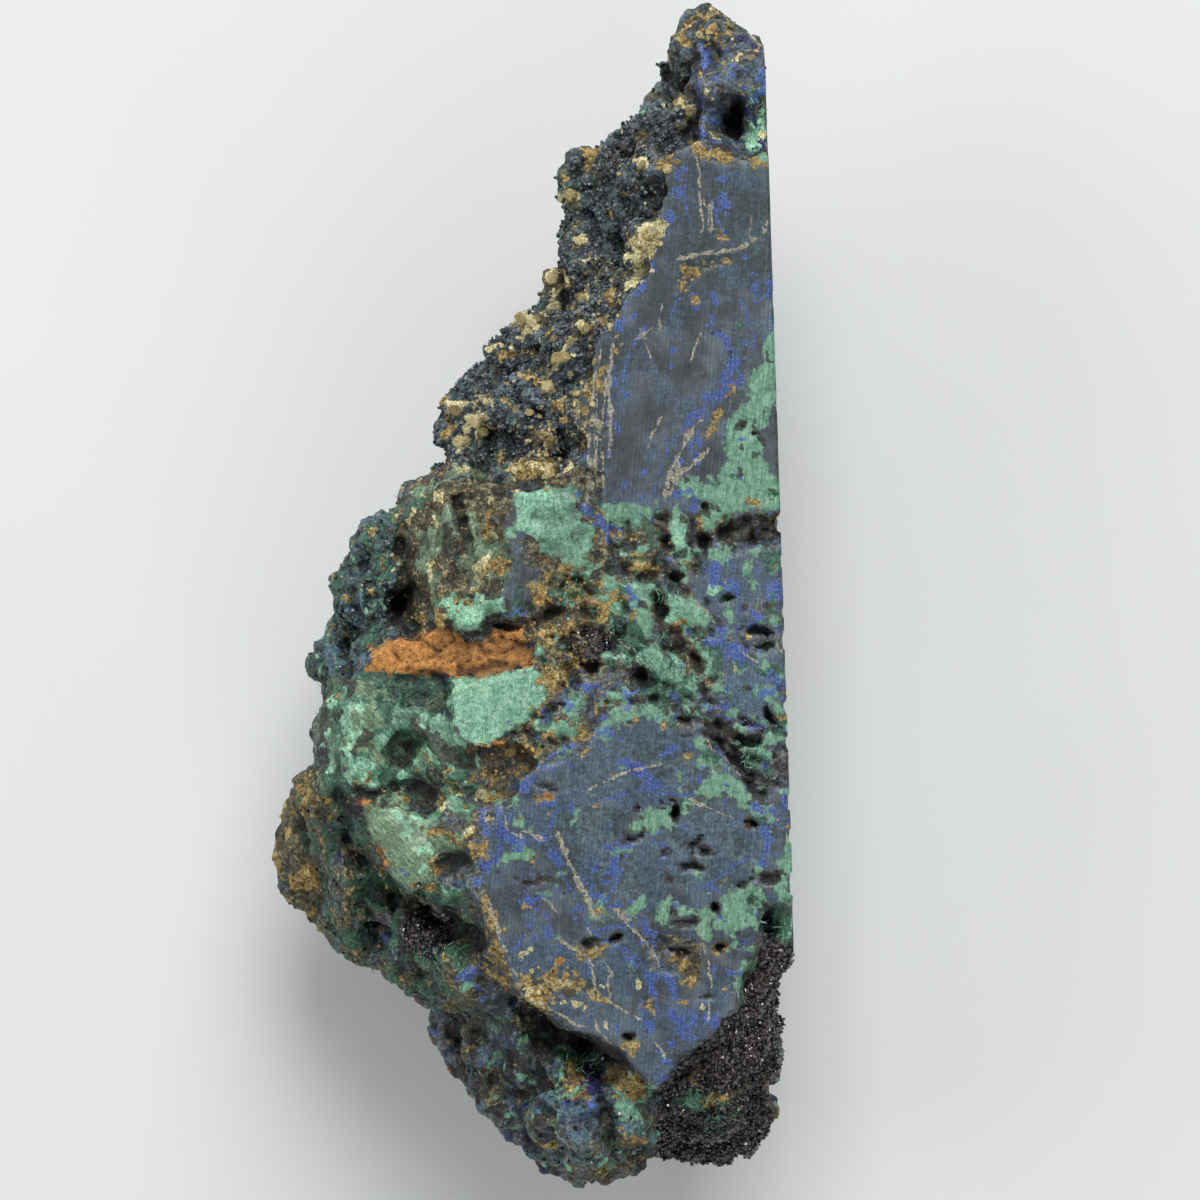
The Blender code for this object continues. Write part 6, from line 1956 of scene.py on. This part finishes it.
class SPECIMEN_OT_beads(bpy.types.Operator):
    """Sows the small dark beads of the azurite crust"""

    bl_idname = "specimen.beads"
    bl_label = "Azurite crust beads"

    def execute(self, context):
        size = context.scene.specimen_sizes.bead_size
        rock = bpy.data.objects["azurite_rock_surface"]
        points = points_of(rock)
        points[:, :2] -= FRAME_SHIFT
        normals = normals_of(rock)
        seen = seen_places(points)
        share = np.zeros(len(points))
        for (outline, _), density in zip(BEAD_ZONES, BEAD_DENSITIES):
            share = np.maximum(share, density * (distance_to(seen, outline, True) < 0.0))
        share *= (normals[:, 2] > 0.1) & (seen[:, 1] > 105) & (levels_of(rock, "sawn") < 0.5)
        share *= signed_distance(places(seen), SAWN_OUTLINE) > 0.0
        for name in ("cream", "ochre", "rust", "malachite", "silky_green", "pale_mint"):
            share *= levels_of(rock, name) < -0.1
        picked = np.random.default_rng(41).choice(len(share), CRUST_BEAD_COUNT, replace=False,
                                                  p=share / share.sum())
        found = (points_of(rock)[picked], normals[picked])
        sow("azurite_crust_beads", template(5, 0.45, 0.60), found, size * 0.55, size, 0.35, 42, 0.08)
        return {"FINISHED"}


class SPECIMEN_OT_needles(bpy.types.Operator):
    """Sows malachite needles in the hollows and on the natural malachite"""

    bl_idname = "specimen.needles"
    bl_label = "Malachite needles"

    def execute(self, context):
        length = context.scene.specimen_sizes.needle_length
        rock = bpy.data.objects["azurite_rock_surface"]
        rng = np.random.default_rng(11)
        spots = [(u + shift[0], v + shift[1]) for u, v, radius, count in SPRAYS
                 for shift in rng.normal(0.0, radius * 0.5, (count, 2))]
        found = stacked(seats(rock, "deep_green", 0.3, NEEDLE_COUNT, 12), seats_at(rock, spots))
        sow("malachite_needles", template(4, 0.55, 0.15), found, length, length * 0.085, 0.75, 13)
        return {"FINISHED"}


class SPECIMEN_OT_points(bpy.types.Operator):
    """Sows glassy azurite points on the druse"""

    bl_idname = "specimen.points"
    bl_label = "Azurite points"

    def execute(self, context):
        size = context.scene.specimen_sizes.point_size
        rock = bpy.data.objects["azurite_rock_surface"]
        found = stacked(seats(rock, "dark_druse", 0.2, DRUSE_POINT_COUNT, 21),
                        seats(rock, "blue_green_kidney", 0.3, KIDNEY_POINT_COUNT, 22))
        sow("azurite_points", template(5, 0.6, 0.55), found, size * 0.8, size, 0.5, 23)
        return {"FINISHED"}


class SPECIMEN_OT_crumbs(bpy.types.Operator):
    """Sows ochre crumbs and cream grains"""

    bl_idname = "specimen.crumbs"
    bl_label = "Crumbs and grains"

    def execute(self, context):
        sizes = context.scene.specimen_sizes
        rock = bpy.data.objects["azurite_rock_surface"]
        crumbs = seats(rock, "ochre", 0.1, CRUMB_COUNT, 31)
        width = sizes.crumb_size
        sow("ochre_crumbs", template(5, 0.6, 0.6), crumbs, width * 0.7, width, 0.7, 32, 0.15)
        places_of, across = zip(*((spot[:2], spot[2] + spot[3]) for spot in KHAKI_GRAINS))
        large = np.array(across) / PIXELS_PER_METRE
        rng = np.random.default_rng(33)
        spots = [(u + shift[0], v + shift[1]) for u, v, radius, count in GRAIN_PATCHES
                 for shift in rng.normal(0.0, radius * 0.5, (count, 2))]
        small = np.full(len(spots), sizes.grain_size)
        found = seats_at(rock, list(places_of) + spots)
        widths = np.concatenate((large * 1.05, small))[:len(found[0])]
        sow("khaki_grains", template(8, 0.66, 0.78), found, widths * 0.34, widths, 0.22, 34, 0.12)
        return {"FINISHED"}


def floor_material(colour):
    """Painted studio board, sprayed matt: it gives an even pale ground with the faintest mottle."""
    material = bpy.data.materials.new("matt_board")
    material.use_nodes = True
    tree = material.node_tree
    shader = tree.nodes["Principled BSDF"]
    where = add(tree, "TexCoord").outputs["Object"]
    mottle = add(tree, "TexNoise", {"Vector": where, "Scale": per_metre(60.0)}).outputs["Fac"]
    dim = (*(part * 0.97 for part in colour), 1.0)
    tone = add(tree, "ValToRGB", {"Fac": mottle}, ((0.3, dim), (0.7, (*colour, 1.0)))).outputs["Color"]
    tree.links.new(tone, shader.inputs["Base Color"])
    shader.inputs["Roughness"].default_value = 0.9
    return material


def aim(thing, target):
    thing.rotation_euler = (Vector(target) - thing.location).to_track_quat("-Z", "Y").to_euler()


# Soft lights: name, place, width in metres, power in watts
LIGHTS = (
    ("window", (0.10, 0.75, 0.85), 0.60, 10.2),
    ("left_board", (-0.75, 0.05, 0.60), 0.60, 1.6),
    ("front_board", (0.15, -0.70, 0.60), 0.60, 1.2),
)
WORLD_STRENGTH = 0.30


class SPECIMEN_OT_stage(bpy.types.Operator):
    """Floor, soft lights, world and the camera straight above"""

    bl_idname = "specimen.stage"
    bl_label = "Stage"

    def execute(self, context):
        clear_selection()
        bpy.ops.mesh.primitive_plane_add(size=4.0, location=(0.0, 0.0, 0.0))
        floor = context.object
        floor.name = "studio_floor"
        floor.data.materials.append(floor_material(context.scene.specimen_colours.floor))
        for name, at, width, power in LIGHTS:
            data = bpy.data.lights.new(name, "AREA")
            data.size = width
            data.energy = power
            light = bpy.data.objects.new(name, data)
            context.scene.collection.objects.link(light)
            light.location = at
            aim(light, (0.0, 0.0, 0.03))
        world = bpy.data.worlds.new("pale_room")
        world.use_nodes = True
        world.node_tree.nodes["Background"].inputs["Color"].default_value = linear("#f2f5f6")
        world.node_tree.nodes["Background"].inputs["Strength"].default_value = WORLD_STRENGTH
        context.scene.world = world
        lens = bpy.data.cameras.new("camera")
        lens.sensor_width = 36.0
        lens.lens = 36.0 * VIEW_DISTANCE * PIXELS_PER_METRE / 1200.0
        camera = bpy.data.objects.new("camera", lens)
        context.scene.collection.objects.link(camera)
        axis = place(*VIEW_CENTRE)
        camera.location = (axis[0] + FRAME_SHIFT[0], axis[1] + FRAME_SHIFT[1], THICKNESS + VIEW_DISTANCE)
        context.scene.camera = camera
        context.scene.view_settings.view_transform = "Standard"
        return {"FINISHED"}


class SPECIMEN_PT_panel(bpy.types.Panel):
    """Lists the pieces, sizes and colours of the specimen"""

    bl_idname = "SPECIMEN_PT_panel"
    bl_label = "Azurite specimen"
    bl_space_type = "VIEW_3D"
    bl_region_type = "UI"
    bl_category = "Specimen"

    def draw(self, context):
        for step in STEPS:
            self.layout.operator(step.bl_idname)
        for group in (context.scene.specimen_sizes, context.scene.specimen_colours):
            for name in group.__annotations__:
                self.layout.prop(group, name)


STEPS = (SPECIMEN_OT_surface, SPECIMEN_OT_beads, SPECIMEN_OT_needles, SPECIMEN_OT_points, SPECIMEN_OT_crumbs,
         SPECIMEN_OT_stage)
CLASSES = (SpecimenSizes, SpecimenColours, *STEPS, SPECIMEN_PT_panel)


def register():
    for kind in CLASSES:
        bpy.utils.register_class(kind)
    bpy.types.Scene.specimen_sizes = bpy.props.PointerProperty(type=SpecimenSizes)
    bpy.types.Scene.specimen_colours = bpy.props.PointerProperty(type=SpecimenColours)


def unregister():
    del bpy.types.Scene.specimen_colours
    del bpy.types.Scene.specimen_sizes
    for kind in reversed(CLASSES):
        bpy.utils.unregister_class(kind)


def main():
    register()
    bpy.ops.specimen.surface()
    bpy.ops.specimen.beads()
    bpy.ops.specimen.needles()
    bpy.ops.specimen.points()
    bpy.ops.specimen.crumbs()
    bpy.ops.specimen.stage()
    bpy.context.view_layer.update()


if __name__ == "__main__":
    main()
